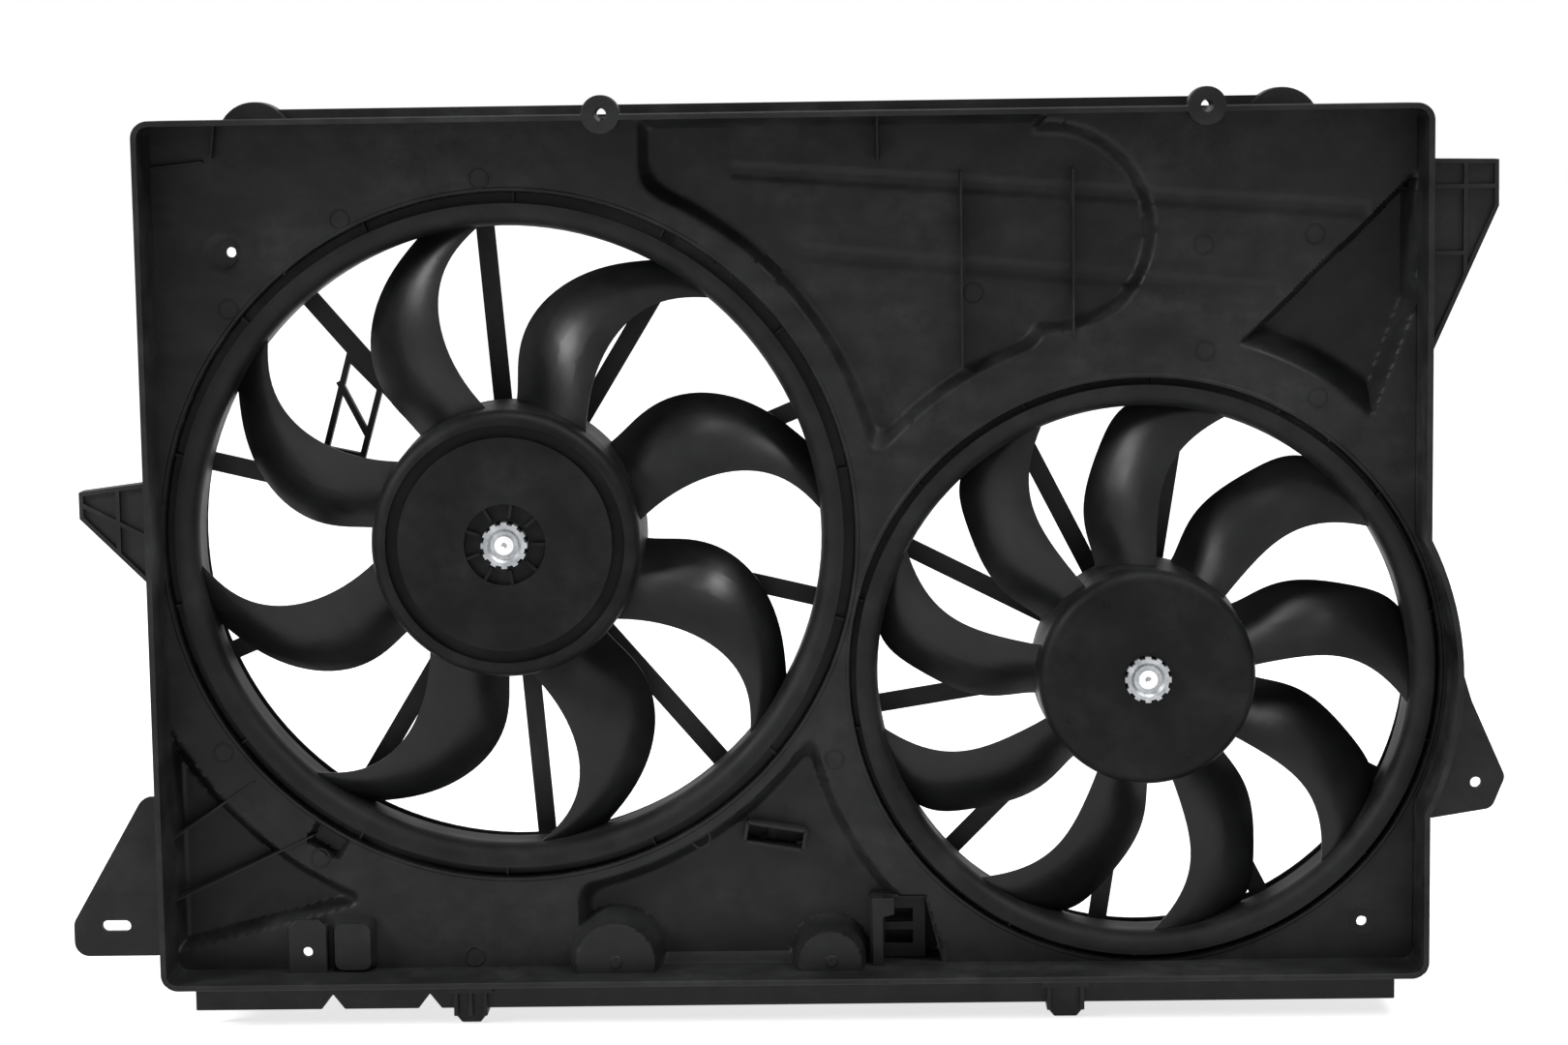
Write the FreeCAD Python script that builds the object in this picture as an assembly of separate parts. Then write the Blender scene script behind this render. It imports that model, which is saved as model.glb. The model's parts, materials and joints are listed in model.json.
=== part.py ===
import FreeCAD, Part
import math
import os

# Twin-fan radiator shroud, seen from the radiator.
# X runs to the right, Y from the radiator towards the engine, Z up.
# The origin is the centre of the rim that seats round the radiator core.

Vec = FreeCAD.Vector
AXIAL = Vec(0, 1, 0)

# ---- Tray: the moulded plenum ----
tray_w = 672.0
tray_h = 460.0
tray_depth = 39.0
tray_wall = 3.0
floor_t = 3.0
tray_corner = 9.0
bulge_wall = 3.0
bulge_air = 4.2

# Planes and edges that several pieces share; places on the tray are measured from them
half_w = tray_w / 2
half_h = tray_h / 2
inner_left = -half_w + tray_wall
inner_right = half_w - tray_wall
inner_top = half_h - tray_wall
inner_bottom = -half_h + tray_wall
floor_y = tray_depth - floor_t

# ---- Fan centres ----
left_side_room = 184.8
left_lift = 6.3
fan_spacing = 337.2
right_low_room = 157.4
left_x = inner_left + left_side_room
left_z = left_lift
right_x = left_x + fan_spacing
right_z = inner_bottom + right_low_room

# ---- Relief of the tray floor ----
relief_depth = 11.0
relief_draft = 4.0
relief_round = 16.0
top_relief_left = left_x + 70.2
top_relief_clear = 12.5
top_relief_clear_right = 24.5
lobe_x = right_x - 50.0
lobe_z = inner_top - 61.0
lobe_r = 58.5
bottom_relief_left = left_x + 32.2
bottom_relief_right = right_x - 109.0
bottom_relief_clear = 7.0
bottom_relief_clear_right = 21.0
bottom_relief_top = inner_bottom + 167.0
corner_relief_clear = 26.5
corner_relief_end_x = inner_left + 100.0
corner_relief_end_z = inner_bottom + 35.0
corner_relief_rise = 9.0
corner_relief_top = inner_bottom + 227.0
pocket_depth = 22.0
pocket_draft = 9.0
pocket_top_z = inner_top - 35.0
pocket_left_x = inner_right - 95.0
pocket_left_z = inner_top - 123.0
pocket_low_x = inner_right - 21.0
pocket_low_z = inner_top - 169.0

# ---- Left fan ----
left_blades = 8
left_lip_r = 178.0
left_lip_gap = 6.0
left_bore_r = 166.0
left_hub_r = 71.0
left_hub_front = 8.0
left_first_blade = 0.0
left_first_strut = 94.5
left_motor_r = 48.0

# ---- Right fan ----
right_blades = 9
right_lip_r = 153.6
right_lip_gap = 3.4
right_bore_r = 142.0
right_hub_r = 57.5
right_hub_front = 12.0
right_first_blade = 0.0
right_first_strut = 117.0
right_motor_r = 42.0

# ---- Fan mouldings ----
lip_front = 32.0
lip_t = 4.0
lip_curl = 2.0
ring_wall = 2.5
ring_rear = 60.0
hub_wall = 2.5
hub_rear = 62.0
hub_shoulder = 8.0
hub_draft = 1.5
groove_w = 6.5
groove_depth = 5.0
recess_r = 21.5
recess_depth = 3.5
recess_rib_count = 9
recess_rib_w = 1.6
boss_r = 15.0
boss_rear = 34.0

# ---- Barrels behind the floor ----
ledge_depth = 5.0
ledge_wall = 3.0
barrel_wall = 3.0
barrel_gap = 4.0
barrel_rear = 88.0
barrel_return_t = 2.0
barrel_return_w = 2.5

# ---- Motor carriers ----
strut_count = 10
strut_w = 10.0
strut_t = 2.6
strut_front = 76.0
carrier_wall = 4.0
carrier_gap = 0.3
carrier_rear = 88.0
carrier_boss_r = 5.5
fastener_first = 12.0
fastener_count = 3

# ---- Motors ----
shaft_r = 5.0
bearing_clear = 0.04
bearing_r = 11.0
bearing_w = 6.0
bearing_shell = 2.5
can_t = 2.0
can_front = 50.0
can_rear = 112.0
end_plate_t = 3.0
flange_t = 2.5
flange_land = 3.0
screw_r = 2.5
screw_head_r = 4.6
screw_head_h = 3.5
screw_drive_r = 2.3
screw_len = 11.0
magnet_t = 6.0
magnet_arc = 74.0
magnet_count = 4
magnet_front = 79.0
magnet_rear = 104.0
air_gap = 0.8
core_front = 82.0
core_rear = 101.0
core_slots = 12
slot_w = 6.0
slot_mouth_w = 2.4
tooth_tip = 2.0
core_back_r = 17.0
winding_over = 5.5
winding_clear = 0.2
commutator_r = 13.0
commutator_front = 62.5
commutator_rear = 74.5
commutator_bars = 12
card_front = 58.0
card_t = 2.5
card_clear = 0.3
brush_w = 5.0
brush_h = 9.0
brush_len = 14.0
brush_gap = 0.3
holder_t = 1.5
socket_w = 24.0
socket_len = 20.0
socket_h = 13.0
socket_wall = 1.8
blade_w = 4.8
blade_t = 0.8
blade_pitch = 9.0
socket_angle = 90.0

# ---- Toothed hub inserts ----
insert_r = 11.0
insert_tooth = 1.2
insert_teeth = 12
insert_tooth_w = 3.0
insert_proud = 4.0
insert_sunk = 6.0
insert_dish = 1.6
insert_dish_r = 9.0
shaft_proud = 1.0
centre_drill_r = 1.6

# ---- Mountings and features on the tray ----
top_boss_x = (-93.0, 219.2)
top_boss_r = 10.0
top_boss_len = 12.0
top_hole_r = 3.2
tab_front = 15.0
tab_rear = 27.0
tab_web = 2.2
bracket_front = 22.0
bracket_t = 3.2
slot_x = -half_w - 27.0
slot_z = -half_h + 31.0
slot_len = 15.4
slot_r = 3.0
right_reach = max(half_w, right_x + right_lip_r + right_lip_gap + bulge_air + bulge_wall)
lower_hole_x = right_reach + 10.2
lower_hole_z = right_z - 59.4
lower_hole_r = 2.9
skirt_front = 18.0
skirt_t = 3.0
skirt_drop = 15.0
half_boss_rise = 17.0
half_boss_draft = 4.0
rib_t = 2.4
rib_rise = 2.0
bump_rise = 9.0
bump_half = 16.3
bump_front = 18.0
bump_w = 14.0
strip_front = 22.0
strip_t = 3.0
strip_rise = 5.0
top_bump_x = (-274.6, 259.8)
# Outlines of the tabs and brackets, from the wall or bulge and the height that each stands at
left_tab = ((2, 41), (-37, 36), (-37, 22), (2, -17))
left_tab_ribs = ((-37, 30, 2, 10), (-16.6, 38, -16.6, 2))
right_tab = ((-2, 201), (35.5, 200.3), (35.7, 176.3), (-2, 92))
right_tab_ribs = ((18.5, 200.6, 18.5, 140), (-2, 186.5, 35.7, 186.5), (-2, 152, 20, 152))
left_bracket = ((2, 117), (-6, 109), (-50, 33), (-50, 14.5), (2, 14.5))
left_bracket_corner = 8.0
right_bracket = ((-19.2, 71.6), (-7.2, 55.6), (1.2, 6.6), (7.8, -15.4), (25.8, -56.4), (18.8, -73.4),
                 (-19.2, -79.4))
right_bracket_corner = 6.0
skirt_left = -half_w + 15.0
skirt_right = half_w - 15.5
skirt_notches = (-247.2, -195.1)
notch_half = 7.0
notch_rise = 9.0
clip_front = 14.0
clip_len = 15.0
clip_head = 6.0
clip_lip = 3.0
clip_lead = 5.0
clip_tip = 4.0
clip_feet = ((-182.0, -164.0, 22.5, 3), (135.0, 155.0, 22.5, 2))
half_bosses = ((left_x + 52.8, inner_bottom + 5.6, 25.5), (left_x + 168.0, inner_bottom + 4.4, 21.0))
# Ribs and shallow bands of the floor: from the fan or the wall beside them to the nearest edge
deep_ribs = ((right_x - 95.3, right_z + 164.1, right_x - 95.3, inner_top - 29.7),
             (right_x - 36.5, right_z + 178.2, right_x - 36.5, inner_top - 29.0),
             (right_x - 139.0, inner_top - 23.0, right_x - 139.0, inner_top - 1.0),
             (inner_left, inner_bottom + 72.5, inner_left + 27.0, inner_bottom + 91.4),
             (inner_left, inner_bottom + 38.5, inner_left + 57.0, inner_bottom + 65.0))
floor_ribs = ((inner_left + 21.0, inner_bottom + 87.2, inner_left + 42.2, inner_bottom + 102.0),
              (inner_left + 51.0, inner_bottom + 62.2, inner_left + 73.2, inner_bottom + 72.5),
              (inner_left, inner_top - 22.0, inner_left + 28.0, inner_top - 22.0),
              (inner_left + 33.0, inner_top - 17.0, inner_left + 33.0, inner_top - 1.0))
floor_bands = ((right_x - 216.8, inner_top - 27.4, right_x + 119.0, inner_top - 52.6),
               (right_x - 180.7, inner_top - 71.3, right_x + 72.8, inner_top - 94.8))
band_w = 9.0
band_depth = 1.0
window_top = inner_bottom + 37.0
window_low = inner_bottom - 1.0
window = ((right_x - 147.0, window_top), (right_x - 117.3, window_top), (right_x - 108.0, window_low),
          (right_x - 147.0, window_low))
vent_x0 = right_x - 211.9
vent_z0 = inner_bottom + 72.6
vent_x1 = right_x - 184.0
vent_z1 = inner_bottom + 69.4
vent_w = 12.0
locator_x = inner_left + 37.0
locator_z = inner_top - 66.7
locator_r = 9.5
locator_depth = 1.6
floor_holes = ((locator_x + 4.0, locator_z, 2.8), (inner_right - 27.6, inner_bottom + 20.1, 2.9))
lug_x0 = inner_left + 61.5
lug_x1 = lug_x0 + 20.5
lug_top = inner_bottom + 29.0
lug_hole_z = inner_bottom + 11.6
lug_hole_r = 2.6
lug_front = 26.0
lug_t = 3.0
keeper_x0 = lug_x1 + 2.0
keeper_x1 = keeper_x0 + 24.0
latch_clear = 0.4
latch_t = 2.4
latch_front = 30.0
latch_arm_w = 6.0
latch_slot_rise = (8.0, 20.0)
latch_slot_h = 7.0
latch_slot_inset = 7.0
latch_hook_w = 12.0
latch_hook_h = 9.0
brace_front = 78.0
brace_t = 6.0
brace_web = 3.2
# The brace's outline and cross web, from the left fan's centre
brace = ((-89.8, 97.7), (-104.8, 43.7), (-81.8, 38.7), (-70.8, 77.7))
brace_cross = (-94.8, 81.7, -79.8, 51.7)
guide_strut = 5
guide_r = 5.0
guide_wall = 1.6
guide_w = 6.0
guide_at = (99.0, 118.0)
crescent_w = 9.0
crescent_depth = 8.0
crescent_from = 62.0
crescent_to = 93.0


class Fan:
    """One fan's place and its own driving sizes."""

    def __init__(self, side, x, z, blades, lip_r, lip_gap, bore_r, hub_r, hub_front,
                 first_blade, first_strut, motor_r, stations):
        self.side = side
        self.x = x
        self.z = z
        self.blades = blades
        self.lip_r = lip_r
        self.opening_r = lip_r + lip_gap
        self.bore_r = bore_r
        self.ring_r = bore_r + ring_wall
        self.barrel_r = bore_r + ring_wall + barrel_gap
        self.hub_r = hub_r
        self.hub_front = hub_front
        self.first_blade = first_blade
        self.first_strut = first_strut
        self.motor_r = motor_r
        self.stations = stations

    def at(self, r, deg, y=0.0):
        a = math.radians(deg)
        return Vec(self.x + r * math.cos(a), y, self.z + r * math.sin(a))

    def disc(self, r, y0, y1):
        return Part.makeCylinder(r, y1 - y0, Vec(self.x, y0, self.z), AXIAL)

    def tube(self, r_in, r_out, y0, y1):
        return self.disc(r_out, y0, y1).cut(self.disc(r_in, y0 - 1, y1 + 1))

    def turned(self, profile):
        """Revolve a closed profile of (radius, y) points about the fan's axis."""
        pts = [Vec(self.x + r, y, self.z) for r, y in profile]
        face = Part.Face(Part.makePolygon(pts + pts[:1]))
        return face.revolve(Vec(self.x, 0, self.z), AXIAL, 360)

    def spun(self, shape, deg):
        copy = shape.copy()
        copy.rotate(Vec(self.x, 0, self.z), AXIAL, -deg)
        return copy


# Blade stations from hub to ring, as shares of the span:
# share, middle angle, half width in degrees, half height along the axis, middle height, thickness
LEFT_STATIONS = [
    (0.00, 70.0, 17.5, 16.0, 43.0, 3.4),
    (0.22, 73.6, 13.6, 15.5, 45.0, 3.2),
    (0.46, 73.0, 11.4, 14.0, 47.0, 3.0),
    (0.72, 67.3, 8.5, 11.5, 49.0, 2.6),
    (0.88, 61.0, 6.8, 9.5, 50.0, 2.4),
    (1.00, 55.0, 6.0, 8.5, 50.5, 2.2),
]
RIGHT_STATIONS = [
    (0.00, 59.3, 15.6, 14.0, 43.0, 3.2),
    (0.21, 58.6, 13.6, 13.5, 45.0, 3.0),
    (0.44, 56.6, 11.9, 12.0, 47.0, 2.8),
    (0.71, 51.0, 10.2, 10.0, 49.0, 2.5),
    (0.87, 46.6, 10.4, 9.0, 50.0, 2.3),
    (1.00, 41.5, 9.8, 8.5, 50.5, 2.2),
]

LEFT = Fan("left", left_x, left_z, left_blades, left_lip_r, left_lip_gap, left_bore_r,
           left_hub_r, left_hub_front, left_first_blade, left_first_strut, left_motor_r,
           LEFT_STATIONS)
RIGHT = Fan("right", right_x, right_z, right_blades, right_lip_r, right_lip_gap, right_bore_r,
            right_hub_r, right_hub_front, right_first_blade, right_first_strut, right_motor_r,
            RIGHT_STATIONS)

bulge_r = RIGHT.opening_r + bulge_air + bulge_wall
ledge_rear = tray_depth + ledge_depth


def moved(places, dx, dz):
    """Shift (x, z) pairs, or (x, z, x, z) ends, by dx and dz."""
    return [tuple(value + (dz if k % 2 else dx) for k, value in enumerate(place)) for place in places]


def box(x0, x1, y0, y1, z0, z1):
    return Part.makeBox(x1 - x0, y1 - y0, z1 - z0, Vec(x0, y0, z0))


def sheet(points, y=0.0):
    """A flat face in the XZ plane at height y through the given (x, z) points."""
    pts = [Vec(x, y, z) for x, z in points]
    return Part.Face(Part.makePolygon(pts + pts[:1]))


def softened(face, r):
    """Round a face's outward corners by r."""
    return face.makeOffset2D(-r).makeOffset2D(r)


def plate(face, y0, y1):
    """Thicken a face drawn at y = 0 into a solid from y0 to y1."""
    moved = face.copy()
    moved.translate(Vec(0, y0, 0))
    return moved.extrude(Vec(0, y1 - y0, 0))


def slab(points, y0, y1, corner=0.0):
    face = sheet(points)
    if corner > 0:
        face = softened(face, corner)
    return plate(face, y0, y1)


def flat_disc(x, z, r):
    return Part.Face(Part.Wire(Part.Circle(Vec(x, 0, z), -AXIAL, r).toShape()))


def drafted(face, y0, y1, inset):
    """A solid whose outline shrinks by inset from y0 to y1."""
    wide = face.OuterWire.copy()
    wide.translate(Vec(0, y0, 0))
    narrow = face.makeOffset2D(-inset).OuterWire.copy()
    narrow.translate(Vec(0, y1, 0))
    return Part.makeLoft([wide, narrow], True, True)


def node(name, shape):
    shape = shape.removeSplitter()
    if len(shape.Solids) == 1:
        shape = shape.Solids[0]
    shape.exportStep("parts/" + name + ".step")
    print(name, len(shape.Solids), shape.isValid(), round(shape.Volume))


# ---- Tray ----
def tray_block(inset, y0, y1):
    """The space inside the tray's outline, with the bulge that clears the right fan."""
    low = -half_h + inset
    top = half_h - inset
    face = sheet([(-half_w + inset, low), (half_w - inset, low), (half_w - inset, top),
                  (-half_w + inset, top)])
    block = plate(softened(face, tray_corner - inset), y0, y1)
    keep = box(RIGHT.x, half_w + bulge_r, y0, y1, low, top)
    return block.fuse(RIGHT.disc(bulge_r - inset, y0, y1).common(keep)).removeSplitter()


def floor_space():
    """Where the floor may be: inside the rim, and out to its outer faces behind it."""
    behind = tray_block(0.0, tray_depth, tray_depth + pocket_depth + floor_t)
    return tray_block(tray_wall, 0, tray_depth).fuse(behind)


def sink(floor, region, depth, draft):
    """Press a region of the floor back by depth, keeping the floor's thickness."""
    hollow = drafted(region, floor_y, floor_y + depth, draft)
    backing = drafted(region.makeOffset2D(floor_t), floor_y, floor_y + depth + floor_t, draft)
    hollow = hollow.common(tray_block(tray_wall, 0, floor_y + depth + floor_t))
    return floor.fuse(backing.common(floor_space())).cut(hollow)


def biggest(face):
    return max(face.removeSplitter().Faces, key=lambda f: f.Area)


def top_relief():
    above = inner_top + 2 * relief_round
    face = sheet([(top_relief_left, LEFT.z), (lobe_x, LEFT.z), (lobe_x, above),
                  (top_relief_left, above)])
    face = face.fuse(flat_disc(lobe_x, lobe_z, lobe_r))
    face = face.cut(flat_disc(LEFT.x, LEFT.z, LEFT.opening_r + top_relief_clear))
    face = face.cut(flat_disc(RIGHT.x, RIGHT.z, RIGHT.opening_r + top_relief_clear_right))
    return softened(biggest(face), relief_round)


def bottom_relief():
    below = inner_bottom - 2 * relief_round
    face = sheet([(bottom_relief_left, below), (bottom_relief_right, below),
                  (bottom_relief_right, bottom_relief_top), (bottom_relief_left, bottom_relief_top)])
    face = face.cut(flat_disc(LEFT.x, LEFT.z, LEFT.opening_r + bottom_relief_clear))
    face = face.cut(flat_disc(RIGHT.x, RIGHT.z, RIGHT.opening_r + bottom_relief_clear_right))
    return softened(biggest(face), relief_round / 2)


def corner_relief():
    start_z = inner_bottom + corner_relief_rise
    face = sheet([(inner_left - relief_round, start_z), (inner_left, start_z),
                  (corner_relief_end_x, corner_relief_end_z), (corner_relief_end_x, corner_relief_top),
                  (inner_left - relief_round, corner_relief_top)])
    face = face.cut(flat_disc(LEFT.x, LEFT.z, LEFT.opening_r + corner_relief_clear))
    return softened(biggest(face), relief_round / 8)


def side_pocket():
    face = sheet([(inner_right + pocket_draft, pocket_top_z + pocket_draft),
                  (pocket_left_x, pocket_left_z), (pocket_low_x, pocket_low_z),
                  (inner_right + pocket_draft, pocket_low_z)])
    return softened(face, relief_round / 4)


def step_over_fan():
    """The clipped crescent above the right fan where the floor steps back."""
    r = RIGHT.opening_r
    band = flat_disc(RIGHT.x, RIGHT.z, r + crescent_w).cut(flat_disc(RIGHT.x, RIGHT.z, r - 2))
    near = RIGHT.at(2 * r, crescent_from)
    far = RIGHT.at(2 * r, crescent_to)
    wedge = sheet([(RIGHT.x, RIGHT.z), (near.x, near.z), (far.x, far.z)])
    return biggest(band.common(wedge))


def strip(x0, z0, x1, z1, width, y0, y1):
    """A straight bar of the given width between two points in the XZ plane."""
    along = Vec(x1 - x0, 0, z1 - z0)
    along.normalize()
    dx = -along.z * width / 2
    dz = along.x * width / 2
    return slab([(x0 + dx, z0 + dz), (x0 - dx, z0 - dz), (x1 - dx, z1 - dz), (x1 + dx, z1 + dz)],
                y0, y1)


def half_boss(x, z, r, skin):
    """The half-round drafted pad against the bottom wall, shrunk all round by skin."""
    front = floor_y - half_boss_rise + skin
    back = floor_y + relief_depth + 1 + skin
    pad = Part.makeCone(r - half_boss_draft - skin, r - skin, back - front, Vec(x, front, z), AXIAL)
    return pad.common(box(x - r, x + r, front, back, inner_bottom + skin - 1, z + r))


def make_floor():
    floor = tray_block(tray_wall, floor_y, tray_depth)
    floor = sink(floor, top_relief(), relief_depth, relief_draft)
    floor = sink(floor, bottom_relief(), relief_depth, relief_draft)
    floor = sink(floor, corner_relief(), relief_depth, relief_draft)
    floor = sink(floor, side_pocket(), pocket_depth, pocket_draft)
    floor = sink(floor, step_over_fan(), crescent_depth, 0.5)
    for x, z, r in half_bosses:
        floor = floor.fuse(half_boss(x, z, r, 0.0)).cut(half_boss(x, z, r, floor_t))
    for x0, z0, x1, z1 in deep_ribs:
        floor = floor.fuse(strip(x0, z0, x1, z1, rib_t, floor_y - rib_rise, floor_y + relief_depth + 1))
    for x0, z0, x1, z1 in floor_ribs:
        floor = floor.fuse(strip(x0, z0, x1, z1, rib_t, floor_y - rib_rise, floor_y + 1))
    for x0, z0, x1, z1 in floor_bands:
        floor = floor.cut(strip(x0, z0, x1, z1, band_w, floor_y - 1, floor_y + band_depth))
    floor = floor.cut(slab(window, 0, tray_depth + relief_depth + 1))
    floor = floor.cut(strip(vent_x0, vent_z0, vent_x1, vent_z1, vent_w, 0, tray_depth + 1))
    for x, z, r in floor_holes:
        floor = floor.cut(Part.makeCylinder(r, tray_depth, Vec(x, 1, z), AXIAL))
    cup = Part.makeCylinder(locator_r, locator_depth + 1, Vec(locator_x, floor_y - 1, locator_z), AXIAL)
    floor = floor.cut(cup).fuse([make_lug(), make_keeper()])
    for fan in (LEFT, RIGHT):
        floor = floor.cut(fan.disc(fan.opening_r, 0, tray_depth + pocket_depth))
    return floor.common(floor_space())


def make_lug():
    """The drilled ear that stands in front of the floor on two side webs."""
    c = lug_t
    face = [(lug_x0, inner_bottom - 1), (lug_x1, inner_bottom - 1), (lug_x1, lug_top - c),
            (lug_x1 - c, lug_top), (lug_x0 + c, lug_top), (lug_x0, lug_top - c)]
    lug = slab(face, lug_front, lug_front + lug_t)
    for x in (lug_x0, lug_x1 - lug_t):
        lug = lug.fuse(box(x, x + lug_t, lug_front, tray_depth, inner_bottom - 1, lug_top - c))
    middle = (lug_x0 + lug_x1) / 2
    return lug.cut(Part.makeCylinder(lug_hole_r, tray_depth, Vec(middle, 0, lug_hole_z), AXIAL))


def make_keeper():
    """The open box beside the lug that holds a clip of the neighbouring part."""
    keeper = box(keeper_x0, keeper_x1, lug_front, tray_depth, inner_bottom - 1, lug_top)
    inside = box(keeper_x0 + lug_t, keeper_x1 - lug_t, lug_front - 1, floor_y,
                 inner_bottom + lug_t, lug_top - lug_t)
    return keeper.cut(inside)


# ---- Rim with its bosses, brackets and clips ----
def ribbed_tab(points, ribs):
    """An open box of thin webs on a thin back, tied to the rim."""
    face = sheet(points)
    tab = plate(face, tab_front, tab_rear)
    tab = tab.cut(plate(face.makeOffset2D(-tab_web), tab_front - 1, tab_rear - tab_web))
    for x0, z0, x1, z1 in ribs:
        tab = tab.fuse(strip(x0, z0, x1, z1, tab_web, tab_front, tab_rear).common(
            plate(face, tab_front, tab_rear)))
    return tab


def make_skirt():
    """The strip below the rim with its two notches."""
    skirt = box(skirt_left, skirt_right, skirt_front, skirt_front + skirt_t,
                -half_h - skirt_drop, -half_h + 1)
    for x in skirt_notches:
        low = -half_h - skirt_drop - 1
        notch = [(x - notch_half, low), (x + notch_half, low), (x, low + notch_rise)]
        skirt = skirt.cut(slab(notch, 0, tray_depth))
    return skirt


def clip_foot(x0, x1, drop, ribs):
    """A push-in foot: a chamfered block with upright ribs."""
    low = -half_h - drop
    top = -half_h + 1
    rear = clip_front + clip_len
    core = slab([(x0, top), (x0, low + clip_lead), (x0 + clip_tip, low), (x1 - clip_tip, low),
                 (x1, low + clip_lead), (x1, top)], clip_front + clip_lip, rear - clip_lip)
    foot = core.fuse(box(x0 - clip_lip, x1 + clip_lip, clip_front, rear, -half_h - clip_head, top))
    pitch = (x1 - x0 - rib_t) / (ribs - 1)
    for k in range(ribs):
        left = x0 + k * pitch
        foot = foot.fuse(box(left, left + rib_t, clip_front, rear, low + clip_tip, top))
    return foot


def make_rim():
    rim = tray_block(0.0, 0, tray_depth).cut(tray_block(tray_wall, -1, tray_depth + 1))
    extras = [make_skirt()]
    for x in top_boss_x:
        extras.append(Part.makeCylinder(top_boss_r, top_boss_len, Vec(x, 0, half_h), AXIAL))
    bump_r = (bump_half ** 2 + bump_rise ** 2) / (2 * bump_rise)
    for x in top_bump_x:
        bump = Part.makeCylinder(bump_r, bump_w, Vec(x, bump_front, half_h + bump_rise - bump_r), AXIAL)
        extras.append(bump.common(box(x - bump_r, x + bump_r, 0, tray_depth, half_h - 1, half_h + bump_r)))
    extras.append(box(top_bump_x[0], top_bump_x[1], strip_front, strip_front + strip_t, half_h - 1,
                      half_h + strip_rise))
    for outline, ribs, wall in ((left_tab, left_tab_ribs, -half_w), (right_tab, right_tab_ribs, half_w)):
        extras.append(ribbed_tab(moved(outline, wall, 0), moved(ribs, wall, 0)))
    left_outline = moved(left_bracket, -half_w, -half_h)
    right_outline = moved(right_bracket, right_reach, RIGHT.z)
    for outline, corner in ((left_outline, left_bracket_corner), (right_outline, right_bracket_corner)):
        extras.append(slab(outline, bracket_front, bracket_front + bracket_t, corner))
    for x0, x1, drop, ribs in clip_feet:
        extras.append(clip_foot(x0, x1, drop, ribs))
    keep_out = tray_block(tray_wall, -1, tray_depth + 1)
    outside = [shape.cut(keep_out) for shape in extras]
    bosses = [Part.makeCylinder(top_boss_r, top_boss_len, Vec(x, 0, half_h), AXIAL) for x in top_boss_x]
    rim = rim.fuse(outside + bosses)
    for x in top_boss_x:
        rim = rim.cut(Part.makeCylinder(top_hole_r, tray_depth, Vec(x, -1, half_h), AXIAL))
    half = (slot_len - 2 * slot_r) / 2
    slot_cut = strip(slot_x - half, slot_z, slot_x + half, slot_z, 2 * slot_r, 0, tray_depth)
    for x in (slot_x - half, slot_x + half):
        slot_cut = slot_cut.fuse(Part.makeCylinder(slot_r, tray_depth, Vec(x, 0, slot_z), AXIAL))
    rim = rim.cut(slot_cut)
    return rim.cut(Part.makeCylinder(lower_hole_r, tray_depth, Vec(lower_hole_x, 0, lower_hole_z), AXIAL))


def rim_quarter(rim, side):
    """One side of the rim, mitred at the corners."""
    out = half_w
    far = [(-half_w - out, half_h + out), (half_w + out, half_h + out),
           (half_w + out, -half_h - out), (-half_w - out, -half_h - out)]
    back = half_h / 2
    near = [(-half_w + back, half_h - back), (half_w - back, half_h - back),
            (half_w - back, -half_h + back), (-half_w + back, -half_h + back)]
    turn = ("top", "right", "bottom", "left").index(side)
    after = (turn + 1) % 4
    return rim.common(slab([far[turn], far[after], near[after], near[turn]], -1, tray_depth + 1))


def make_latch():
    """The spring catch that stands in the floor's window."""
    x0 = window[0][0] + latch_clear
    x1 = window[1][0] - latch_clear
    low = inner_bottom
    top = window[0][1] - latch_clear
    back = tray_depth + relief_depth
    plate_part = box(x0, x1, back - latch_t, back, low, top)
    for rise in latch_slot_rise:
        slot = box(x0 + latch_slot_inset, x1 - latch_slot_inset, 0, back + 1,
                   low + rise, low + rise + latch_slot_h)
        plate_part = plate_part.cut(slot)
    arm = box(x0, x0 + latch_arm_w, latch_front, back, low, top)
    hook = slab([(x0, top), (x0, top - latch_hook_w), (x0 + latch_hook_w, top - latch_hook_h),
                 (x0 + latch_hook_w, top)], latch_front, latch_front + latch_t)
    bar = box(x0, x1, back - latch_arm_w, back, top - latch_t, top)
    return plate_part.fuse([arm, hook, bar])


whole_rim = make_rim()
for side in ("top", "right", "bottom", "left"):
    node("rim_" + side, rim_quarter(whole_rim, side))
node("shroud_floor", make_floor())
node("window_latch", make_latch())


# ---- Barrels ----
def make_barrel(fan):
    """The stepped mouth behind the floor and the duct wall round the fan's ring."""
    mouth = fan.opening_r
    duct = fan.barrel_r
    back = duct - barrel_return_w
    return fan.turned([
        (mouth + ledge_wall, tray_depth), (mouth + ledge_wall, ledge_rear + ledge_wall),
        (duct + barrel_wall, ledge_rear + ledge_wall), (duct + barrel_wall, barrel_rear),
        (back, barrel_rear), (back, barrel_rear - barrel_return_t),
        (duct, barrel_rear - barrel_return_t), (duct, ledge_rear), (mouth, ledge_rear),
        (mouth, tray_depth)])


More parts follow.
